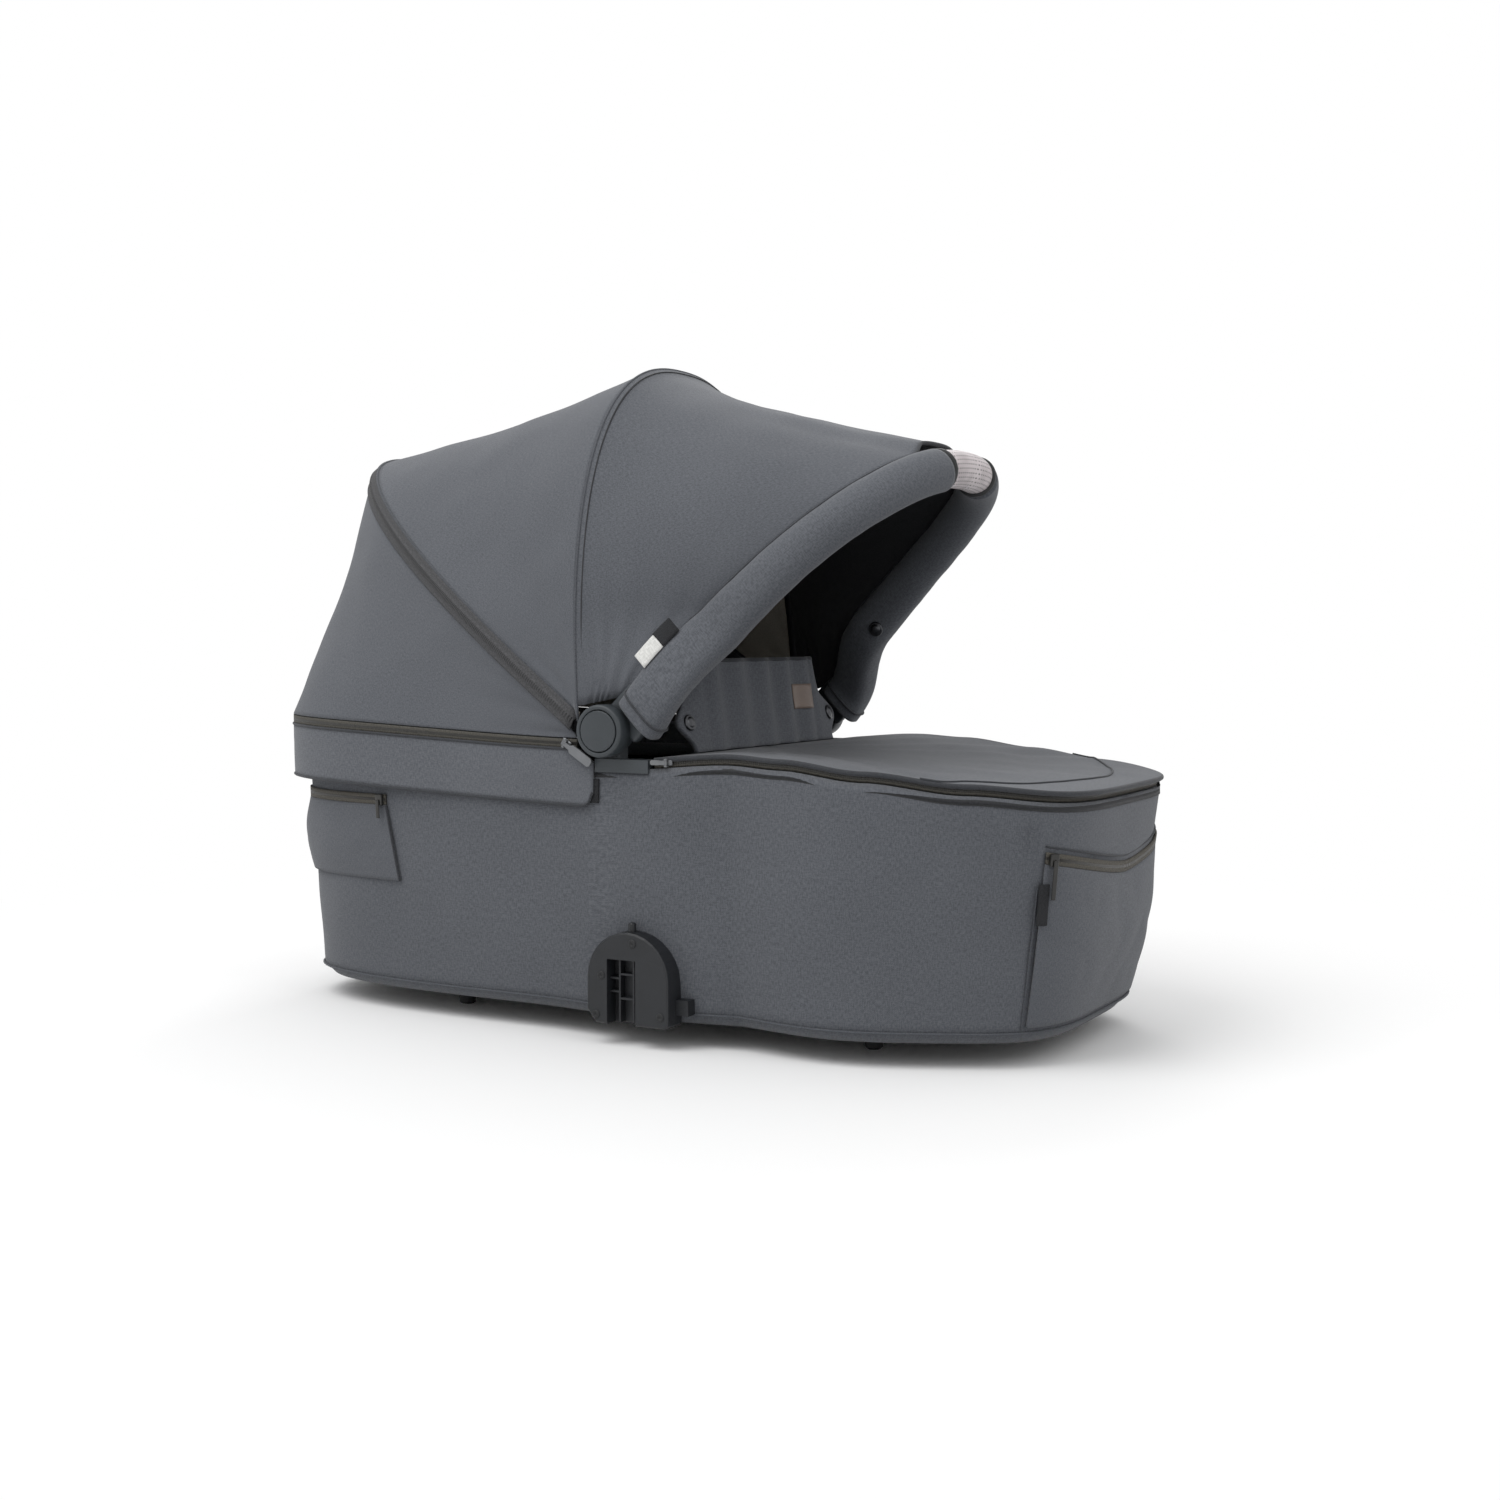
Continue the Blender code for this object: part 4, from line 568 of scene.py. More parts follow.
def makeCover():
    ring = body["ringRadius"]
    rows = [lambda angle: slopePoint(angle, cover["underHeight"], cover["underDepth"]),
            lambda angle: slopePoint(angle, cover["turnHeight"], 0)]
    for i in range(cover["wallRows"] + 1):
        level = i / cover["wallRows"]
        rows.append(lambda angle, level=level: wallPoint(angle, level, -coverSwell(angle, level)))
    for i in range(1, cover["rollRows"] + 1):  # the top rolls over the rim tube
        turn = pi * i / cover["rollRows"]
        rows.append(lambda angle, turn=turn: wallDrop(angle, ring * (1 - sin(turn)),
                                                      ring * (1 - cos(turn))))
    rows.append(lambda angle: wallDrop(angle, ring + body["hem"], 2 * ring))
    count, place = ringRows(rows)
    piece = gridPiece("outerCover", cover["columns"], count, place, (rimRound, cover["height"]),
                      cover["thickness"], loop=True, inside=True)
    dress(piece, "shell", "lining", stands=("outer_cover", "rim_frame"))
    declareSheet(piece, cover["flat"])

    piping("bottomPiping", cover["columns"], lambda share: wallPoint(angleAt(share), 0, -0.0010),
           cover["bottomSeam"], rimRound, finish="seam", loop=True)
    for label, side in sides:
        angle = angleAt(side * shareAt(cover["sideSeamX"], 1))
        piping(f"footSeam{label}", 40,
               lambda share: wallAt(angle, mix(*cover["sideSeamSpan"], share), 0.0004),
               cover["sideSeam"], 0.13, finish="seam")


# Cabin: lining and mattress

cabin = {"inset": 0.01105, "floor": 0.0273, "liningThickness": 0.007, "topDrop": 0.0156,
         "clothThickness": 0.0025, "wallRows": 12, "flat": (2.25, 0.45), "height": 0.47059, "mattressHeight": 0.038,
         "mattressMargin": 0.004, "mattressCrown": 0.004, "mattressDraw": 0.004, "quilt": 0.0012,
         "quiltPitch": 90, "mattressFill": 0.7}
# Mattress rows from the bottom's middle over the side to the top's middle: spread, rise, edge seam's draw
mattressRows = [(0, 0, 0), (0.5, 0, 0), (0.93, 0, 0), (0.975, 0.05, 0), (0.990, 0.16, 0.1),
                (0.998, 0.35, 0.6), (1, 0.5, 1), (0.998, 0.65, 0.6), (0.990, 0.84, 0.1), (0.975, 0.95, 0), (0.93, 1, 0),
                (0.85, 1.02, 0), (0.75, 1, 0), (0.6, 1, 0), (0.4, 1, 0), (0.2, 1, 0), (0, 1, 0)]


def makeLining():
    inset, floor = cabin["inset"], cabin["floor"]

    def liningWall(angle, level):
        point = wallPoint(angle, level, inset)
        fold = ripple(point, 16, 0.003, 5) + ripple(point, 40, 0.0012, 7)
        return wallPoint(angle, level, inset + abs(fold))
    rows = [lambda angle: floorPoint(angle, inset, 0, floor),
            lambda angle: floorPoint(angle, inset, 0.55, floor),
            lambda angle: slopePoint(angle, floor, inset)]
    for i in range(cabin["wallRows"] + 1):
        level = 0.10 + 0.80 * i / cabin["wallRows"]
        rows.append(lambda angle, level=level: liningWall(angle, level))
    rows.append(lambda angle: wallDrop(angle, cabin["topDrop"], inset))
    count, place = ringRows(rows)
    piece = gridPiece("innerLining", 300, count, place, (rimRound, cabin["height"]), cabin["clothThickness"],
                      loop=True)
    dress(piece, "lining", stands=("inner_lining", "wall_board"))
    piece.data.flip_normals()  # its outside faces the cabin
    declareSheet(piece, cabin["flat"])


def makeMattress():
    inset = cabin["inset"] + cabin["liningThickness"] + cabin["mattressMargin"]
    low = cabin["floor"] + cabin["liningThickness"]

    def place(across, up):
        angle = angleAt(across)
        spread, rise, draw = mattressRows[round(up * (len(mattressRows) - 1))]
        pull = cabin["mattressDraw"] * draw * (1 - abs(sin(2 * angle)))
        x, y = outlinePoint(angle, 0, inset + pull)
        quilt = sin(x * cabin["quiltPitch"]) * sin(y * cabin["quiltPitch"]) * spread
        z = low + cabin["mattressHeight"] * rise + cabin["mattressCrown"] * (1 - spread ** 2) * rise
        return Vector((x * spread, y * spread, z + (cabin["quilt"] * quilt if rise >= 1 else 0)))
    piece = tubePiece("mattressPad", 200, len(mattressRows) - 1, place, (rimRound, 0.4), loop=True)
    dress(piece, "mattress", stands=("mattress",))


# Band, its zip and the pockets on the wall

band = {"bottom": 0.214, "top": 0.267, "endDrop": 0.011, "rise": 0.014, "endX": -0.010, "outset": 0.0033,
        "headOutset": 0.0150, "thickness": 0.0024, "zipHeight": 0.008, "zipEnd": -0.028, "corner": 0.013,
        "hem": 0.0013, "flat": (1.45, 0.060)}
pocket = {"headX": -0.242, "headLean": 0.014, "headLow": 0.131, "headTop": 0.205, "headOutset": 0.0026,
          "footX": 0.3985, "footLow": 0.036, "footTop": 0.178, "footOutset": 0.0027, "dip": 0.020,
          "dipPower": 1.4, "belly": 0.005, "wrinkle": 0.003, "thickness": 0.0022, "zipHeight": 0.010,
          "edge": 0.0012, "stitch": 0.0009, "stitchRise": 0.0150, "headFlat": (0.95, 0.085),
          "headZipFlat": (0.90, 0.0105), "footFlat": (0.37, 0.15), "footZipFlat": (0.37, 0.0105)}
zipGap = 0.0003  # between a zip tape and the cloth under it


def bandOutset(x):
    share = -x / (body["rimLength"] / 2)
    return mix(band["outset"], band["headOutset"], smooth((share - 0.35) / 0.5))


def bandRise(x):
    return band["rise"] * smooth(-x / (body["rimLength"] / 2))


def bandLow(x):
    into = min(max((x - (band["endX"] - band["corner"])) / band["corner"], 0), 1)
    return band["bottom"] + bandRise(x) + band["corner"] * (1 - math.sqrt(1 - into * into * 0.999))


def bandTop(x):
    return band["top"] + bandRise(x) - band["endDrop"] * smooth((x - 3 * band["endX"]) / (-2 * band["endX"]))


def crowd(share):
    # Grid columns lie closer together near both ends.
    return share - 0.09 * sin(2 * pi * share)


def patchPlace(start, end, low, high, outset, belly=0, wrinkle=0, seed=0):
    # A patch on the wall, from start to end round it and from low to high.
    def place(across, up):
        angle = angleAt(mix(start(up), end(up), crowd(across)))
        x, _ = outlinePoint(angle, 1)
        height = mix(low(x), high(x), up)
        swell = belly * sin(pi * up) * sin(pi * across)
        calm = sin(pi * up) * min(1, 8 * across * (1 - across))
        soft = abs(ripple(wallAt(angle, height), 20, wrinkle, seed)) * calm
        return wallAt(angle, height, outset(x) + swell + soft)
    return place


def makeWallZip(name, finish, node, columns, start, end, edge, outset, size, thickness):
    place = patchPlace(lambda up: start, lambda up: end, lambda x: edge(x) + zipGap,
                       lambda x: edge(x) + zipGap + size[1], outset)
    return dress(gridPiece(name, columns, 4, place, size, thickness), finish, stands=(node,))


def makeBand():
    far, near = shareAt(band["endX"], 1), shareAt(band["endX"], -1)
    place = patchPlace(lambda up: far, lambda up: near, bandLow, bandTop, bandOutset, wrinkle=0.0012, seed=2)
    piece = gridPiece("hoodBand", 260, 10, place, (1.2, 0.053), band["thickness"])
    dress(piece, "band", stands=("hood_band",))
    declareSheet(piece, band["flat"])
    for name, up, inset in (("bandHemLow", 0, 0.0008), ("bandHemHigh", 1, -0.0008)):
        piping(name, 240, lambda share: place(share, up) + Vector((0, 0, inset)), band["hem"], 1.2)
    makeWallZip("bandZip", "zip", "band_zip", 240, shareAt(band["zipEnd"], 1), shareAt(band["zipEnd"], -1),
                lambda x: band["top"] + bandRise(x), bandOutset, (1.2, band["zipHeight"]), 0.0018)


def footTop(x):
    # The foot pocket's top dips from its middle to its ends.
    length = min(2 * x / body["rimLength"], 1) ** body["cornerPower"]
    start = (2 * pocket["footX"] / body["rimLength"]) ** body["cornerPower"]
    across = max((1 - length) / (1 - start), 0) ** (1 / body["cornerPower"])
    return pocket["footTop"] - pocket["dip"] * (1 - min(across, 1) ** pocket["dipPower"])


def makePockets():
    def headEnd(up, side):
        return shareAt(mix(pocket["headX"], pocket["headX"] - pocket["headLean"], up), side)
    place = patchPlace(lambda up: headEnd(up, 1), lambda up: headEnd(up, -1), lambda x: pocket["headLow"],
                       lambda x: pocket["headTop"], lambda x: pocket["headOutset"], pocket["belly"],
                       pocket["wrinkle"], 4)
    piece = gridPiece("headPocket", 160, 24, place, (0.8, 0.075), pocket["thickness"])
    dress(piece, "shell", stands=("head_pocket",))
    declareSheet(piece, pocket["headFlat"])
    for name, across in (("headPocketEdge", 1), ("headPocketEdgeFar", 0)):
        piping(name, 60, lambda share: place(across, share), pocket["edge"], 0.08)
    piece = makeWallZip("headPocketZip", "pocketZip", "head_pocket_zip", 140, headEnd(1, 1), headEnd(1, -1),
                        lambda x: pocket["headTop"], lambda x: pocket["headOutset"],
                        (0.75, pocket["zipHeight"]), 0.002)
    declareSheet(piece, pocket["headZipFlat"])

    reach = shareAt(pocket["footX"], 1)
    place = patchPlace(lambda up: -reach, lambda up: reach, lambda x: pocket["footLow"], footTop,
                       lambda x: pocket["footOutset"], pocket["belly"], pocket["wrinkle"], 6)
    piece = gridPiece("footPocket", 120, 36, place, (0.36, 0.14), pocket["thickness"])
    dress(piece, "shell", stands=("foot_pocket",))
    declareSheet(piece, pocket["footFlat"])
    piece = makeWallZip("footPocketZip", "pocketZip", "foot_pocket_zip", 110, -reach, reach, footTop,
                        lambda x: pocket["footOutset"], (0.36, pocket["zipHeight"]), 0.002)
    declareSheet(piece, pocket["footZipFlat"])

    def stitchPath(share):
        angle = angleAt(mix(-reach, reach, share))
        return wallAt(angle, footTop(outlinePoint(angle, 1)[0]) + pocket["stitchRise"], 0.0004)
    piping("footPocketStitch", 100, stitchPath, pocket["stitch"], 0.36)


# Hood

hood = {"sag": 0.009, "frontSag": 0.011, "rearSag": 0.007, "thickness": 0.0020, "edgeGap": 0.0014,
        "tapeWidth": 0.015, "tapeStart": 0.013, "middleStart": 0.008, "frontRearStart": 0.022,
        "frontStart": 0.0303, "foot": 0.0094, "ridge": 0.0011, "slotLength": 0.120, "slotDepth": 0.013,
        "pucker": 0.0026, "puckerFolds": 31, "zipRidge": 0.0022, "zipFlat": (1.25, 0.0195), "seam": 0.0011,
        "binding": 0.0015, "stripWidth": 0.010, "stripThickness": 0.0008, "stripDepth": 0.0032}
hoodMiddle = Vector((hub["x"], 0, 0.332))
# Per panel: its node, rows, weave size, cut size, the two bodies it joins, and its turn's direction and reach
hoodPanels = {
    "hoodRearPanel": ("hood_rear_panel", 44, (1.25, 0.26), (1.40, 0.34), "tub", "rear_hoop",
                      (0.314, 0, 0.949), 0.082),
    "hoodMiddlePanel": ("hood_middle_panel", 48, (1.10, 0.30), (1.25, 0.42), "rear_hoop", "middle_hoop",
                        (0.879, 0, 0.477), 0.105),
    "hoodFrontPanel": ("hood_front_panel", 48, (1.0, 0.24), (1.10, 0.34), "middle_hoop", "front_handle",
                       (0.930, 0, -0.3665), 0.114),
}


def sag(point, amount, rise):
    return point + (hoodMiddle - point).normalized() * amount * 4 * rise * (1 - rise)


def pucker(point, across, rise, seed):
    # Fine folds fan out from the hub, broad soft ones cross the panels, and both calm down at the edges.
    calm = min(1, 6 * across * (1 - across) + 0.35) * min(1, 7 * rise * (1 - rise))
    flat = Vector((point.x - hub["x"], 0, point.z - hub["z"]))
    angle = math.atan2(flat.z, flat.x)
    near = math.exp(-max(flat.length - 0.035, 0) / 0.055) * smooth((abs(point.y) - 0.11) / 0.07)
    fan = hood["pucker"] * near * sin(angle * hood["puckerFolds"] + 1.5 * sin(angle * 7))
    broad = ripple(point, 11, 0.0030, seed) + ripple(point, 26, 0.0013, seed + 1)
    return point + (point - hoodMiddle).normalized() * (fan + broad) * calm


def sleeveWidth(reach):
    return mix(0.048, 0.042, smooth(reach / 0.260))


def sleeveDepth(reach):
    return mix(0.033, 0.0379, smooth(reach / frontBow.radius))


def sleeveDrop(reach):
    # The cloth hangs forward of the bow where it meets the hub.
    return mix(0.002, 0.0005, smooth(reach / 0.260)) + 0.0125 * (1 - smooth((reach - 0.03) / 0.08))


def makeHoodPanels():
    far, near = shareAt(band["zipEnd"], 1), shareAt(band["zipEnd"], -1)
    rearEnd = bowShare(rearBow, hood["tapeStart"])
    middleEnd = bowShare(middleBow, hood["middleStart"])
    frontRear = bowShare(middleBow, hood["frontRearStart"])
    frontEnd = bowShare(frontBow, hood["frontStart"])
    half = hood["tapeWidth"] / 2 + hood["edgeGap"]

    def rearPlace(across, up):
        angle = angleAt(mix(far, near, across))
        x, _ = outlinePoint(angle, 1)
        low = wallAt(angle, band["top"] + hood["foot"] + bandRise(x), bandOutset(x))
        high = bowPoint(rearBow, mix(rearEnd, -rearEnd, across), half)
        point = sag(low.lerp(high, up), hood["rearSag"] * sin(pi * across), up)
        return pucker(point, across, up, 11)

    def middlePlace(across, forward):
        rear = bowPoint(rearBow, mix(rearEnd, -rearEnd, across), -half)
        front = bowPoint(middleBow, mix(middleEnd, -middleEnd, across), hood["ridge"])
        point = sag(rear.lerp(front, forward), hood["sag"] * sin(pi * across), forward)
        return pucker(point, across, forward, 17)

    def frontEdge(across):
        share = mix(frontEnd, -frontEnd, across)
        reach = bowReach(frontBow, share)
        side = abs(bowPoint(frontBow, share).y)
        cut = hood["slotDepth"] * smooth((hood["slotLength"] / 2 - side) / (hood["slotLength"] / 4))
        return bowPoint(frontBow, share, sleeveWidth(reach) / 2 - sleeveDrop(reach) + hood["edgeGap"] + cut)

    def frontPlace(across, forward):
        rear = bowPoint(middleBow, mix(frontRear, -frontRear, across), -hood["ridge"])
        point = sag(rear.lerp(frontEdge(across), forward), hood["frontSag"] * sin(pi * across),
                    forward ** 0.6)
        return pucker(point, across, forward, 23)

    for (name, values), place in zip(hoodPanels.items(), (rearPlace, middlePlace, frontPlace)):
        node, rows, size, flat, first, second, direction, distance = values
        piece = gridPiece(name, 150, rows, place, size, hood["thickness"], inside=True)
        dress(piece, "shell", "lining" if name == "hoodFrontPanel" else "taupe", carrier=None, stands=(node,))
        step = Vector(direction).normalized() * distance
        pivot - step
        pivot + step
        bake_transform(piece)
        declareSheet(piece, flat)

    # The rear zip runs over the rear bow between its two panels, raised along the middle.
    def tapePlace(across, up):
        centre, out, back = bowFrame(rearBow, mix(rearEnd, -rearEnd, across))
        ridge = hood["zipRidge"] * math.exp(-((up - 0.5) / 0.16) ** 2)
        return centre + back * mix(-half, half, up) + out * (0.0004 + ridge)
    piece = gridPiece("hoodZip", 180, 12, tapePlace, (1.1, hood["tapeWidth"]), 0.0016)
    dress(piece, "hoodZip", carrier="rear_hoop", stands=("hood_zip",))
    declareSheet(piece, hood["zipFlat"])
    for name, back in (("hoodZipWeltRear", half), ("hoodZipWeltFront", -half)):
        piping(name, 150, lambda share: bowPoint(rearBow, mix(rearEnd, -rearEnd, share), back, 0.0006),
               hood["seam"], 1.1, "rear_hoop", "seam")
    piping("middleSeam", 170, lambda share: bowPoint(middleBow, mix(middleEnd, -middleEnd, share), 0, 0.0004),
           hood["seam"], 1.0, "middle_hoop", "seam")
    piping("frontBinding", 150, lambda share: frontEdge(mix(0.06, 0.94, share)), hood["binding"], 0.9,
           "front_handle")

    # Flat steel strips hold the two rear seams out, inside the cloth.
    for name, bow, node, carrier in (("rearStrip", rearBow, "rear_bow", "rear_hoop"),
                                     ("middleStrip", middleBow, "middle_bow", "middle_hoop")):
        def stripPlace(across, up):
            centre, out, back = bowFrame(bow, mix(0.93, -0.93, across))
            return centre + back * hood["stripWidth"] * (up - 0.5) - out * hood["stripDepth"]
        piece = gridPiece(name, 120, 2, stripPlace, (1.0, hood["stripWidth"]), hood["stripThickness"])
        dress(piece, "coated", carrier=carrier, stands=(node,))


# Front bow: sleeves, grip and hub pieces

sleeve = {"start": 0.0268, "endGap": 0.0012, "endPower": 3.2, "calmSpan": (0.03, 0.325), "hemReach": 0.0375,
          "hem": 0.0011, "hemPower": 3.1}
grip = {"length": 0.082, "radius": 0.0175, "endDraw": 0.05, "ringWidth": 0.006, "ringRadius": 0.0195,
        "ringEdge": 0.10, "ringGap": 0.0004, "seam": 0.0007}


def sleevePoint(share, around):
    reach = bowReach(frontBow, share)
    power = mix(sleeve["endPower"], 2, smooth(reach / 0.260))
    point = bowSection(frontBow, share, around, sleeveWidth(reach), sleeveDepth(reach), sleeveDrop(reach),
                       power)
    outward = (point - bowPoint(frontBow, share)).normalized()
    low, high = sleeve["calmSpan"]
    calm = smooth((reach - low) / 0.03) * smooth((high - reach) / 0.04)
    soft = ripple(point, 30, 0.0007, 31) + ripple(point, 70, 0.0003, 37)
    return point + outward * soft * calm


def makeSleeves():
    start = bowShare(frontBow, sleeve["start"])
    end = shareAtSide(frontBow, grip["length"] / 2 + grip["ringWidth"] + sleeve["endGap"])
    reach = sleeve["hemReach"]
    hemShare = bowShare(frontBow, reach)
    for label, side, nodes in (("Left", 1, ("front_sleeve_left", "front_bow")),
                               ("Right", -1, ("front_sleeve_right",))):
        piece = tubePiece(f"frontSleeve{label}", 120, 48, lambda along, around: sleevePoint(
            side * mix(start, end, along ** 1.25), -side * around), (0.36, 0.13))
        dress(piece, "shell", carrier="front_handle", stands=nodes)
        piping(f"sleeveHem{label}", 60, lambda share: bowSection(
            frontBow, side * hemShare, share, sleeveWidth(reach) + 0.0012, sleeveDepth(reach) + 0.0012,
            sleeveDrop(reach), sleeve["hemPower"]), sleeve["hem"], 0.13, "front_handle", loop=True)


def makeGrip():
    end = shareAtSide(frontBow, grip["length"] / 2)
    width = 2 * grip["radius"]

    def gripPlace(along, around):
        across = width * (1 - grip["endDraw"] * (2 * along - 1) ** 10)
        return bowSection(frontBow, mix(-end, end, along), -around, across, across)
    piece = tubePiece("handleGrip", 60, 48, gripPlace, (grip["length"], pi * width))
    dress(piece, "leather", carrier="front_handle", stands=("handle_grip",))
    piping("gripSeam", 50,
           lambda share: bowSection(frontBow, mix(-end, end, share) * 0.98, -0.25, width, width), grip["seam"],
           grip["length"], "front_handle", "plate")
    first = shareAtSide(frontBow, grip["length"] / 2 + grip["ringGap"])
    last = shareAtSide(frontBow, grip["length"] / 2 + grip["ringWidth"])
    for label, side in sides:
        def ringPlace(along, around):
            across = 2 * grip["ringRadius"] * (1 - grip["ringEdge"] * abs(2 * along - 1) ** 4)
            return bowSection(frontBow, side * mix(first, last, along), -around, across, across)
        piece = tubePiece(f"gripRing{label}", 10, 48, ringPlace, (0.006, 0.12))
        dress(piece, "black", carrier="front_handle", stands=(f"grip_ring_{label.lower()}",))


def makeHubs():
    radius, depth = hub["radius"], hub["depth"]
    hole, floor = hub["button"] + hub["buttonGap"], depth - hub["buttonPocket"]
    profile = [(0, 0), (radius - 0.0015, 0), (radius, 0.0015), (radius, depth - 0.0022),
               (radius - 0.0006, depth - 0.0008), (radius - 0.0020, depth), (hole + 0.0006, depth),
               (hole, depth - 0.0006), (hole, floor), (0, floor)]
    along = Vector((cos(frontBow.lean), 0, sin(frontBow.lean)))
    back = Vector((-sin(frontBow.lean), 0, cos(frontBow.lean)))
    for label, side in sides:
        turn = Matrix.Rotation(-side * pi / 2, 4, "X")
        spot = Matrix.Translation((hub["x"], side * (hub["face"] - depth), hub["z"])) @ turn
        disc = spinPiece(f"hubDisc{label}", profile, 72, spot)
        dress(disc, "plastic", carrier="front_handle", stands=(f"hub_knuckle_{label.lower()}",))
        matrix = Matrix((along, back, Vector((0, side, 0)))).transposed().to_4x4()
        matrix.translation = Vector((hub["x"], side * hub["armInner"], hub["z"]))
        arm = blockPiece(f"hubArm{label}", hub["armLow"], hub["armHigh"], hub["armBevel"], matrix)
        dress(arm, "plastic", carrier="front_handle")


# Apron, its zip and the wind flap

apron = {"start": 0.052, "thickness": 0.0034, "crown": 0.003, "inset": 0.002, "zipHeight": 0.006,
         "zipInset": 0.003, "tip": 0.004, "lift": 0.0063, "seamX": 0.396, "seamBow": 0.093, "seam": 0.0010,
         "piping": 0.0024, "flat": (0.46, 0.40)}
flap = {"x": 0.058, "height": 0.083, "halfWidth": 0.141, "lean": 0.006, "bow": 0.006, "curl": 0.024,
        "fold": 0.0026, "folds": 6, "ear": 0.020, "earHeight": 0.027, "earReach": 0.024, "thickness": 0.0044,
        "binding": 0.0026, "flat": (0.36, 0.092), "plateAcross": (0.722, 0.862), "plateUp": (0.40, 0.70),
        "popperShare": 0.475, "sleevePopperReach": 0.137, "sleevePopperTurn": 0.69}
popperProfile = [(0, 0.0032), (0.0030, 0.0031), (0.0048, 0.0026), (0.0055, 0.0018), (0.0062, 0.0020),
                 (0.0072, 0.0018), (0.0077, 0.0010), (0.0077, 0), (0, 0)]


def apronEdge(share):
    x, y = outlinePoint(angleAt(share), 1, apron["inset"])
    tip = apron["tip"] * smooth((x / (body["rimLength"] / 2) - 0.75) / 0.25)
    return Vector((x + tip, y, rimHeight(x) + apron["lift"] + apron["thickness"]))


def makeApron():
    reach = shareAt(apron["start"], 1)
    middle = Vector((apron["start"], 0, rimHeight(apron["start"]) + apron["lift"] + apron["thickness"]))

    def place(across, inward):
        share = inward ** 1.6
        point = apronEdge(mix(-reach, reach, across)).lerp(middle, share)
        point.z += apron["crown"] * sin(pi * across) * sin(pi * min(share, 1) ** 0.6)
        calm = sin(pi * min(inward * 1.1, 1)) * min(1, 8 * across * (1 - across))
        point.z += (ripple(point, 10, 0.0035, 41) + ripple(point, 28, 0.0012, 43)) * calm
        return point
    piece = gridPiece("apronCover", 220, 40, place, (0.95, 0.2), apron["thickness"], inside=True)
    dress(piece, "shell", "lining", stands=("apron",))
    declareSheet(piece, apron["flat"])

    def edgePath(share):
        point = apronEdge(mix(-reach, reach, share))
        point += (Vector((0.2, 0, point.z)) - point).normalized() * 0.0008
        return point - Vector((0, 0, 0.0022))
    piping("apronPiping", 300, edgePath, apron["piping"], 0.95)

    # A bowed seam crosses the foot end.
    seamReach = shareAt(apron["seamX"] - apron["seamBow"], 1)

    def seamPath(share):
        across = (mix(-seamReach, seamReach, share) / reach + 1) / 2
        low, high = 0, 1
        for _ in range(24):
            inward = (low + high) / 2
            point = place(across, inward)
            line = apron["seamX"] - apron["seamBow"] * (abs(point.y) / body["rimWidth"] * 2) ** 1.8
            low, high = (inward, high) if point.x > line else (low, inward)
        return point + Vector((0, 0, 0.0005))
    piping("apronSeam", 160, seamPath, apron["seam"], 0.5)

    def zipPlace(across, up):
        point = wallDrop(angleAt(mix(-reach, reach, across)), 0, apron["zipInset"])
        point.z += mix(zipGap, apron["zipHeight"], up)
        return point
    piece = gridPiece("apronZip", 220, 3, zipPlace, (0.95, apron["zipHeight"]), 0.0018)
    dress(piece, "zip", stands=("apron_zip",))


def flapPoint(across, up):
    side = mix(-1, 1, across)
    height = flap["height"] * up
    flat = smooth((0.84 - abs(side)) * 12)
    fold = flap["fold"] * cos(2 * pi * flap["folds"] * across + 0.5 * sin(9 * across)) * flat
    fold *= 0.75 + 0.5 * up
    ear = flap["ear"] * hump((height - flap["earHeight"]) / flap["earReach"]) * side ** 12
    lean = flap["lean"] + flap["bow"] * (1 - side * side) + flap["curl"] * side ** 6
    y = side * flap["halfWidth"] + math.copysign(ear, side)
    foot = rimHeight(flap["x"]) + apron["lift"] + apron["thickness"] + 0.0012
    point = Vector((flap["x"] - lean * up + fold, y, foot + height))
    point.x += ripple(point, 22, 0.0016, 51) * up
    return point


def facing(seat, outward):
    return Matrix.Translation(seat) @ outward.to_track_quat("Z", "Y").to_matrix().to_4x4()


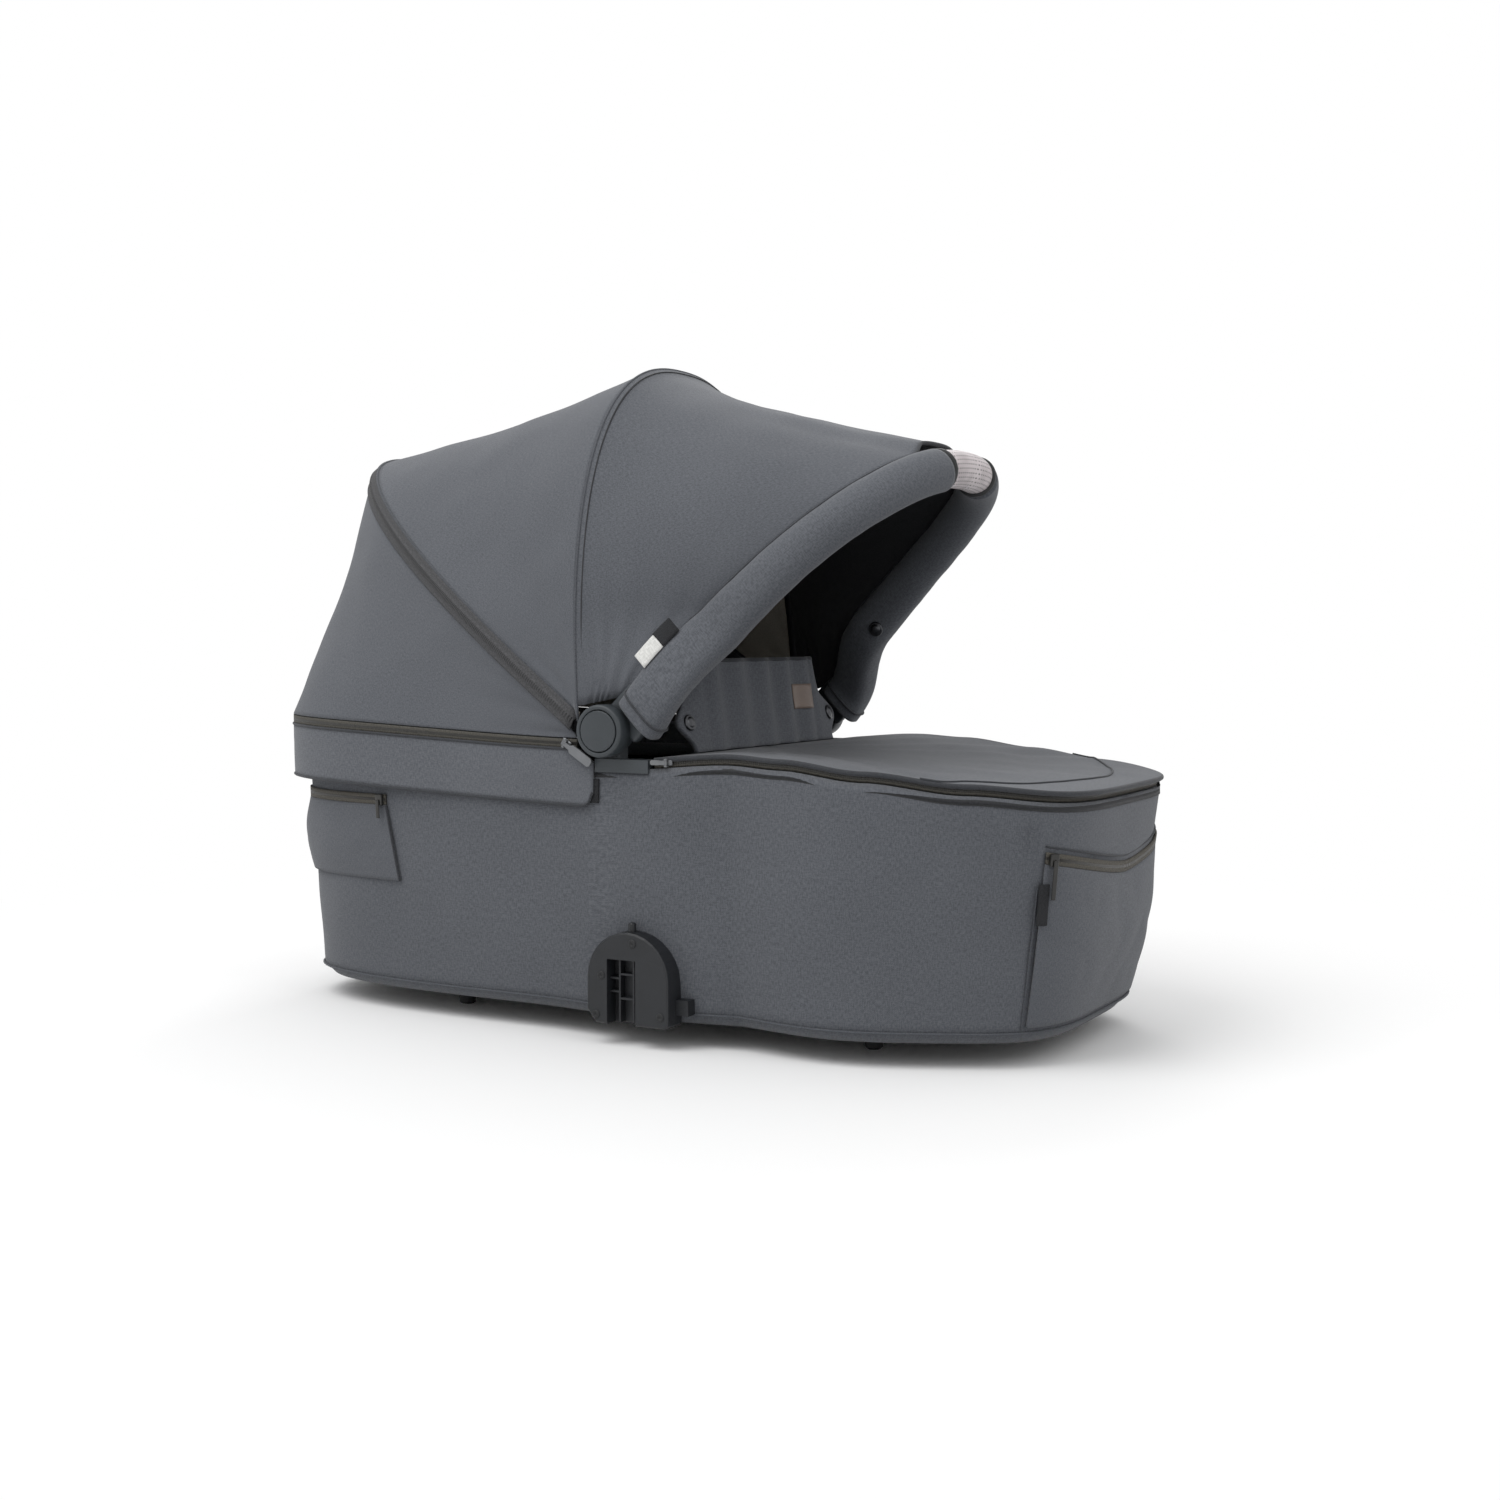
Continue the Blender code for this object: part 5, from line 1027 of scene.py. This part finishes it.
def makeFlap():
    piece = gridPiece("windFlap", 170, 30, flapPoint, (0.30, flap["height"]), flap["thickness"])
    dress(piece, "shell", carrier="flap", stands=("wind_flap",))
    declareSheet(piece, flap["flat"])
    piping("flapBinding", 200, lambda share: flapPoint(share, 1) - Vector((0.0022, 0, 0)), flap["binding"],
           0.3, "flap")

    # A bare leather-look patch sits on the flap's far half.
    def platePlace(across, up):
        share = mix(*flap["plateAcross"], across)
        along = flapPoint(share + 0.01, 0.5) - flapPoint(share - 0.01, 0.5)
        outward = along.cross(Vector((0, 0, 1))).normalized()
        return flapPoint(share, mix(*flap["plateUp"], up)) + outward * 0.0014
    dress(gridPiece("flapPlate", 16, 8, platePlace, (0.05, 0.025), 0.0014), "plate", carrier="flap")

    for label, side in sides:
        share = 0.5 + side * flap["popperShare"]
        up = flap["earHeight"] / flap["height"]
        seat = flapPoint(share, up)
        outward = (flapPoint(share + 0.01, up) - seat).cross(flapPoint(share, up + 0.05) - seat).normalized()
        piece = spinPiece(f"flapPopper{label}", popperProfile, 32,
                          facing(seat + outward * 0.0002, outward))
        dress(piece, "popper", carrier="flap", stands=(f"flap_popper_{label.lower()}",))
        share, turn = side * bowShare(frontBow, flap["sleevePopperReach"]), flap["sleevePopperTurn"]
        seat = sleevePoint(share, turn)
        outward = (sleevePoint(share, turn + 0.01) - seat).cross(sleevePoint(share + 0.01, turn) - seat)
        outward.normalize()
        if outward.y * side > 0:
            outward.negate()
        piece = spinPiece(f"sleevePopper{label}", popperProfile, 32,
                          facing(seat + outward * 0.0004, outward))
        dress(piece, "popper", carrier="front_handle", stands=(f"sleeve_popper_{label.lower()}",))


# Small pieces on the wall

pulls = {"sliderLow": (-0.0055, -0.0042, 0), "sliderHigh": (0.0055, 0.0042, 0.0036), "sliderBevel": 0.0011,
         "halfWidth": 0.0021, "low": 0.0040, "high": 0.0056, "bevel": 0.0007, "outset": 0.0030,
         "headLength": 0.018, "footLength": 0.034}
# The tag table also places the painted shadow patches beside the band's ends.
tags = {"tabShift": 0.0040, "tabHalf": 0.0030, "tabSpan": (0.126, 0.161), "shadowPatchX": (-0.0165, -0.0045),
        "shadowPatchSpan": (0.218, 0.240), "labelSplit": 0.079, "labelLow": 0.060, "labelHigh": 0.096}
screwProfile = [(0, 0.0006), (0.0012, 0.0006), (0.0014, 0.0011), (0.0034, 0.0010), (0.0040, 0.0003),
                (0.0040, -0.002), (0, -0.002)]
screwSpots = ((0.0359, 0.0945), (0.0029, 0.0638), (-0.0027, 0.0278), (0.0648, 0.0306))  # x and height


def wallFrame(share, height, outset, along):
    # Axes on the wall: along it as asked, the rest of the turn, and outwards.
    angle, step = angleAt(share), 0.004
    seat = wallAt(angle, height, outset)
    tangent = wallAt(angleAt(share + step), height, outset) - wallAt(angleAt(share - step), height, outset)
    rise = wallAt(angle, height + step, outset) - wallAt(angle, height - step, outset)
    outward = tangent.cross(rise).normalized()
    along = (along - outward * along.dot(outward)).normalized()
    turn = Matrix((along, outward.cross(along), outward)).transposed().to_4x4()
    return Matrix.Translation(seat) @ turn


def makeSliders():
    footStart = 0.004 - shareAt(pocket["footX"], 1)
    for name, node, share, height, length, carrier in (
            ("headPocket", "head_pocket", shareAt(pocket["headX"] - 0.020, -1), pocket["headTop"] + 0.0053,
             pulls["headLength"], "head_tab"),
            ("footPocket", "foot_pocket", footStart, pocket["footTop"] + 0.0040, pulls["footLength"],
             "foot_tab")):
        matrix = wallFrame(share, height, pulls["outset"], Vector((0, 0, -1)))
        slider = blockPiece(f"{name}Slider", pulls["sliderLow"], pulls["sliderHigh"], pulls["sliderBevel"],
                            matrix)
        dress(slider, "slider", stands=(f"{node}_slider",))
        pull = blockPiece(f"{name}Pull", (0, -pulls["halfWidth"], pulls["low"]),
                          (length, pulls["halfWidth"], pulls["high"]), pulls["bevel"], matrix)
        dress(pull, "slider", carrier=carrier, stands=(f"{node}_pull",))


def makeTags():
    # Hanging tab beside the foot pocket's slider.
    tabMiddle = 0.004 - shareAt(pocket["footX"], 1) - tags["tabShift"]

    def tabPlace(across, up):
        spot = mix(tabMiddle - tags["tabHalf"], tabMiddle + tags["tabHalf"], across)
        return wallAt(angleAt(spot), mix(*tags["tabSpan"], up), 0.0042 + 0.0020 * (1 - up))
    dress(gridPiece("footTab", 8, 16, tabPlace, (0.013, 0.036), 0.0016), "patch")

    # Dark patches beside the band's ends: painted shadow below and past the band's front corners.
    for label, side in sides:
        def shadowPatchSpot(across, up):
            x = mix(*tags["shadowPatchX"], across if side < 0 else 1 - across)
            return wallAt(angleAt(shareAt(x, side)), mix(*tags["shadowPatchSpan"], up), 0.0018)
        dress(gridPiece(f"darkClothAndShadow{label}", 12, 14, shadowPatchSpot, (0.012, 0.022), 0.0014), "patch")

    # Folded label left bare, sewn in along the near sleeve's rear edge.
    for name, first, last, depth, finish in (
            ("labelLoop", tags["labelLow"], tags["labelSplit"], 0.015, "white"),
            ("labelLoopUpper", tags["labelSplit"], tags["labelHigh"], 0.016, "patch")):
        def labelPlace(across, up):
            reach = mix(first, last, across)
            centre, out, back = bowFrame(frontBow, -bowShare(frontBow, reach))
            edge = centre + back * (sleeveWidth(reach) / 2 - sleeveDrop(reach) - 0.004)
            turn = pi * (up - 0.5)
            return edge + back * depth * cos(turn) + out * (0.0017 * sin(turn) + 0.0125)
        piece = gridPiece(name, 16, 16, labelPlace, (last - first, 0.03), 0.0006)
        dress(piece, finish, carrier="front_handle")


def makeScrews():
    low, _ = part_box("adapter_housing_right")
    for label, side in sides:
        for index, (x, z) in enumerate(screwSpots):
            matrix = facing(Vector((x, -side * low.y, z)), Vector((0, side, 0)))
            dress(spinPiece(f"screw{label}{index + 1}", screwProfile, 24, matrix), "black")


makeCover()
makeLining()
makeMattress()
print("body made")
makeBand()
makePockets()
print("band and pockets made")
makeHoodPanels()
makeSleeves()
makeGrip()
makeHubs()
print("hood made")
makeApron()
makeFlap()
makeSliders()
makeTags()
makeScrews()
print("apron and small pieces made")


# Finishes for the frame's own pieces

frameFinishes = {
    "adapter": "adapter", "base_tray": "tray", "foot_end_foot": "black", "head_end_foot": "black",
    "hub_bracket": "plastic", "hub_button": "plastic", "pivot_pin": "coated", "side_upright": "coated",
    "apron_zip": "pull", "band_zip": "pull",
}
for name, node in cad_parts.items():
    if node.hide_render:
        continue
    for start, finish in frameFinishes.items():
        if name.startswith(start):
            node.data.materials.clear()
            node.data.materials.append(finishes[finish])
            break
    else:
        print("no finish for", name)


# Floor, light and camera

stage = {"floorSize": 30, "floorTone": 0.60, "fadeStart": 0.55, "fadeEnd": 1.25, "worldStrength": 0.70,
         "lens": 46.05, "sensor": 36, "cameraSpot": (0.939135, -1.664583, 0.367759),
         "cameraTarget": (0.0351, 0, 0.2564)}
lamps = {  # place, target, size and power
    "key": ((-0.7, -1.5, 2.6), (0, 0, 0.25), 2.2, 36),
    "fill": ((2.0, -0.6, 1.6), (0, 0, 0.25), 1.4, 5),
    "back": ((-0.4, 1.8, 1.8), (0, 0, 0.3), 1.2, 10),
}


def makeFloor():
    # Pale paper that keeps the shadow near the object and fades to white further off.
    build = bmesh.new()
    bmesh.ops.create_grid(build, x_segments=1, y_segments=1, size=stage["floorSize"])
    floor = makePiece("floor", build)
    shader = Shader("floorPaper", 0.95)
    ray = shader.node("ShaderNodeLightPath", {}, {}).socket.node
    seen = Value(shader, ray.outputs["Is Camera Ray"]) + Value(shader, ray.outputs["Is Glossy Ray"])
    tone = stage["floorTone"]
    shader.set("Base Color", shader.colours((tone, tone, tone, 1), (1, 1, 1, 1), seen))
    x, y, _ = shader.split(shader.coordinate())
    far = ((x * x + y * y) ** 0.5).ramp(stage["fadeStart"], stage["fadeEnd"]) * seen
    glow = shader.node("ShaderNodeEmission", {}, {"Color": (1, 1, 1, 1), "Strength": 1.0})
    paper = Value(shader, shader.surface.outputs[0])
    blend = shader.node("ShaderNodeMixShader", {}, {0: far, 1: paper, 2: glow})
    shader.tree.links.new(blend.socket, shader.tree.nodes["Material Output"].inputs["Surface"])
    floor.data.materials.append(shader.material)


def makeWorld():
    # White to the camera, and a little less than that on the object.
    world = bpy.data.worlds.new("studio")
    bpy.context.scene.world = world
    world.use_nodes = True
    tree = world.node_tree
    path = tree.nodes.new("ShaderNodeLightPath")
    strength = tree.nodes.new("ShaderNodeMapRange")
    strength.inputs["To Min"].default_value = stage["worldStrength"]
    strength.inputs["To Max"].default_value = 1.0
    background = tree.nodes["Background"]
    background.inputs["Color"].default_value = (1, 1, 1, 1)
    tree.links.new(path.outputs["Is Camera Ray"], strength.inputs["Value"])
    tree.links.new(strength.outputs["Result"], background.inputs["Strength"])


def aimed(name, data, spot, target):
    thing = bpy.data.objects.new(name, data)
    bpy.context.scene.collection.objects.link(thing)
    thing.location = spot
    thing.rotation_euler = (Vector(target) - Vector(spot)).to_track_quat("-Z", "Y").to_euler()
    return thing


def makeLights():
    for name, (spot, target, size, power) in lamps.items():
        lamp = bpy.data.lights.new(name, "AREA")
        lamp.shape = "DISK"
        lamp.size = size
        lamp.energy = power
        aimed(name, lamp, spot, target)


def makeCamera():
    lens = bpy.data.cameras.new("camera")
    lens.lens = stage["lens"]
    lens.sensor_width = stage["sensor"]
    bpy.context.scene.camera = aimed("camera", lens, stage["cameraSpot"], stage["cameraTarget"])


makeFloor()
makeWorld()
makeLights()
makeCamera()
bpy.context.scene.view_settings.view_transform = "Standard"
print("stage made")
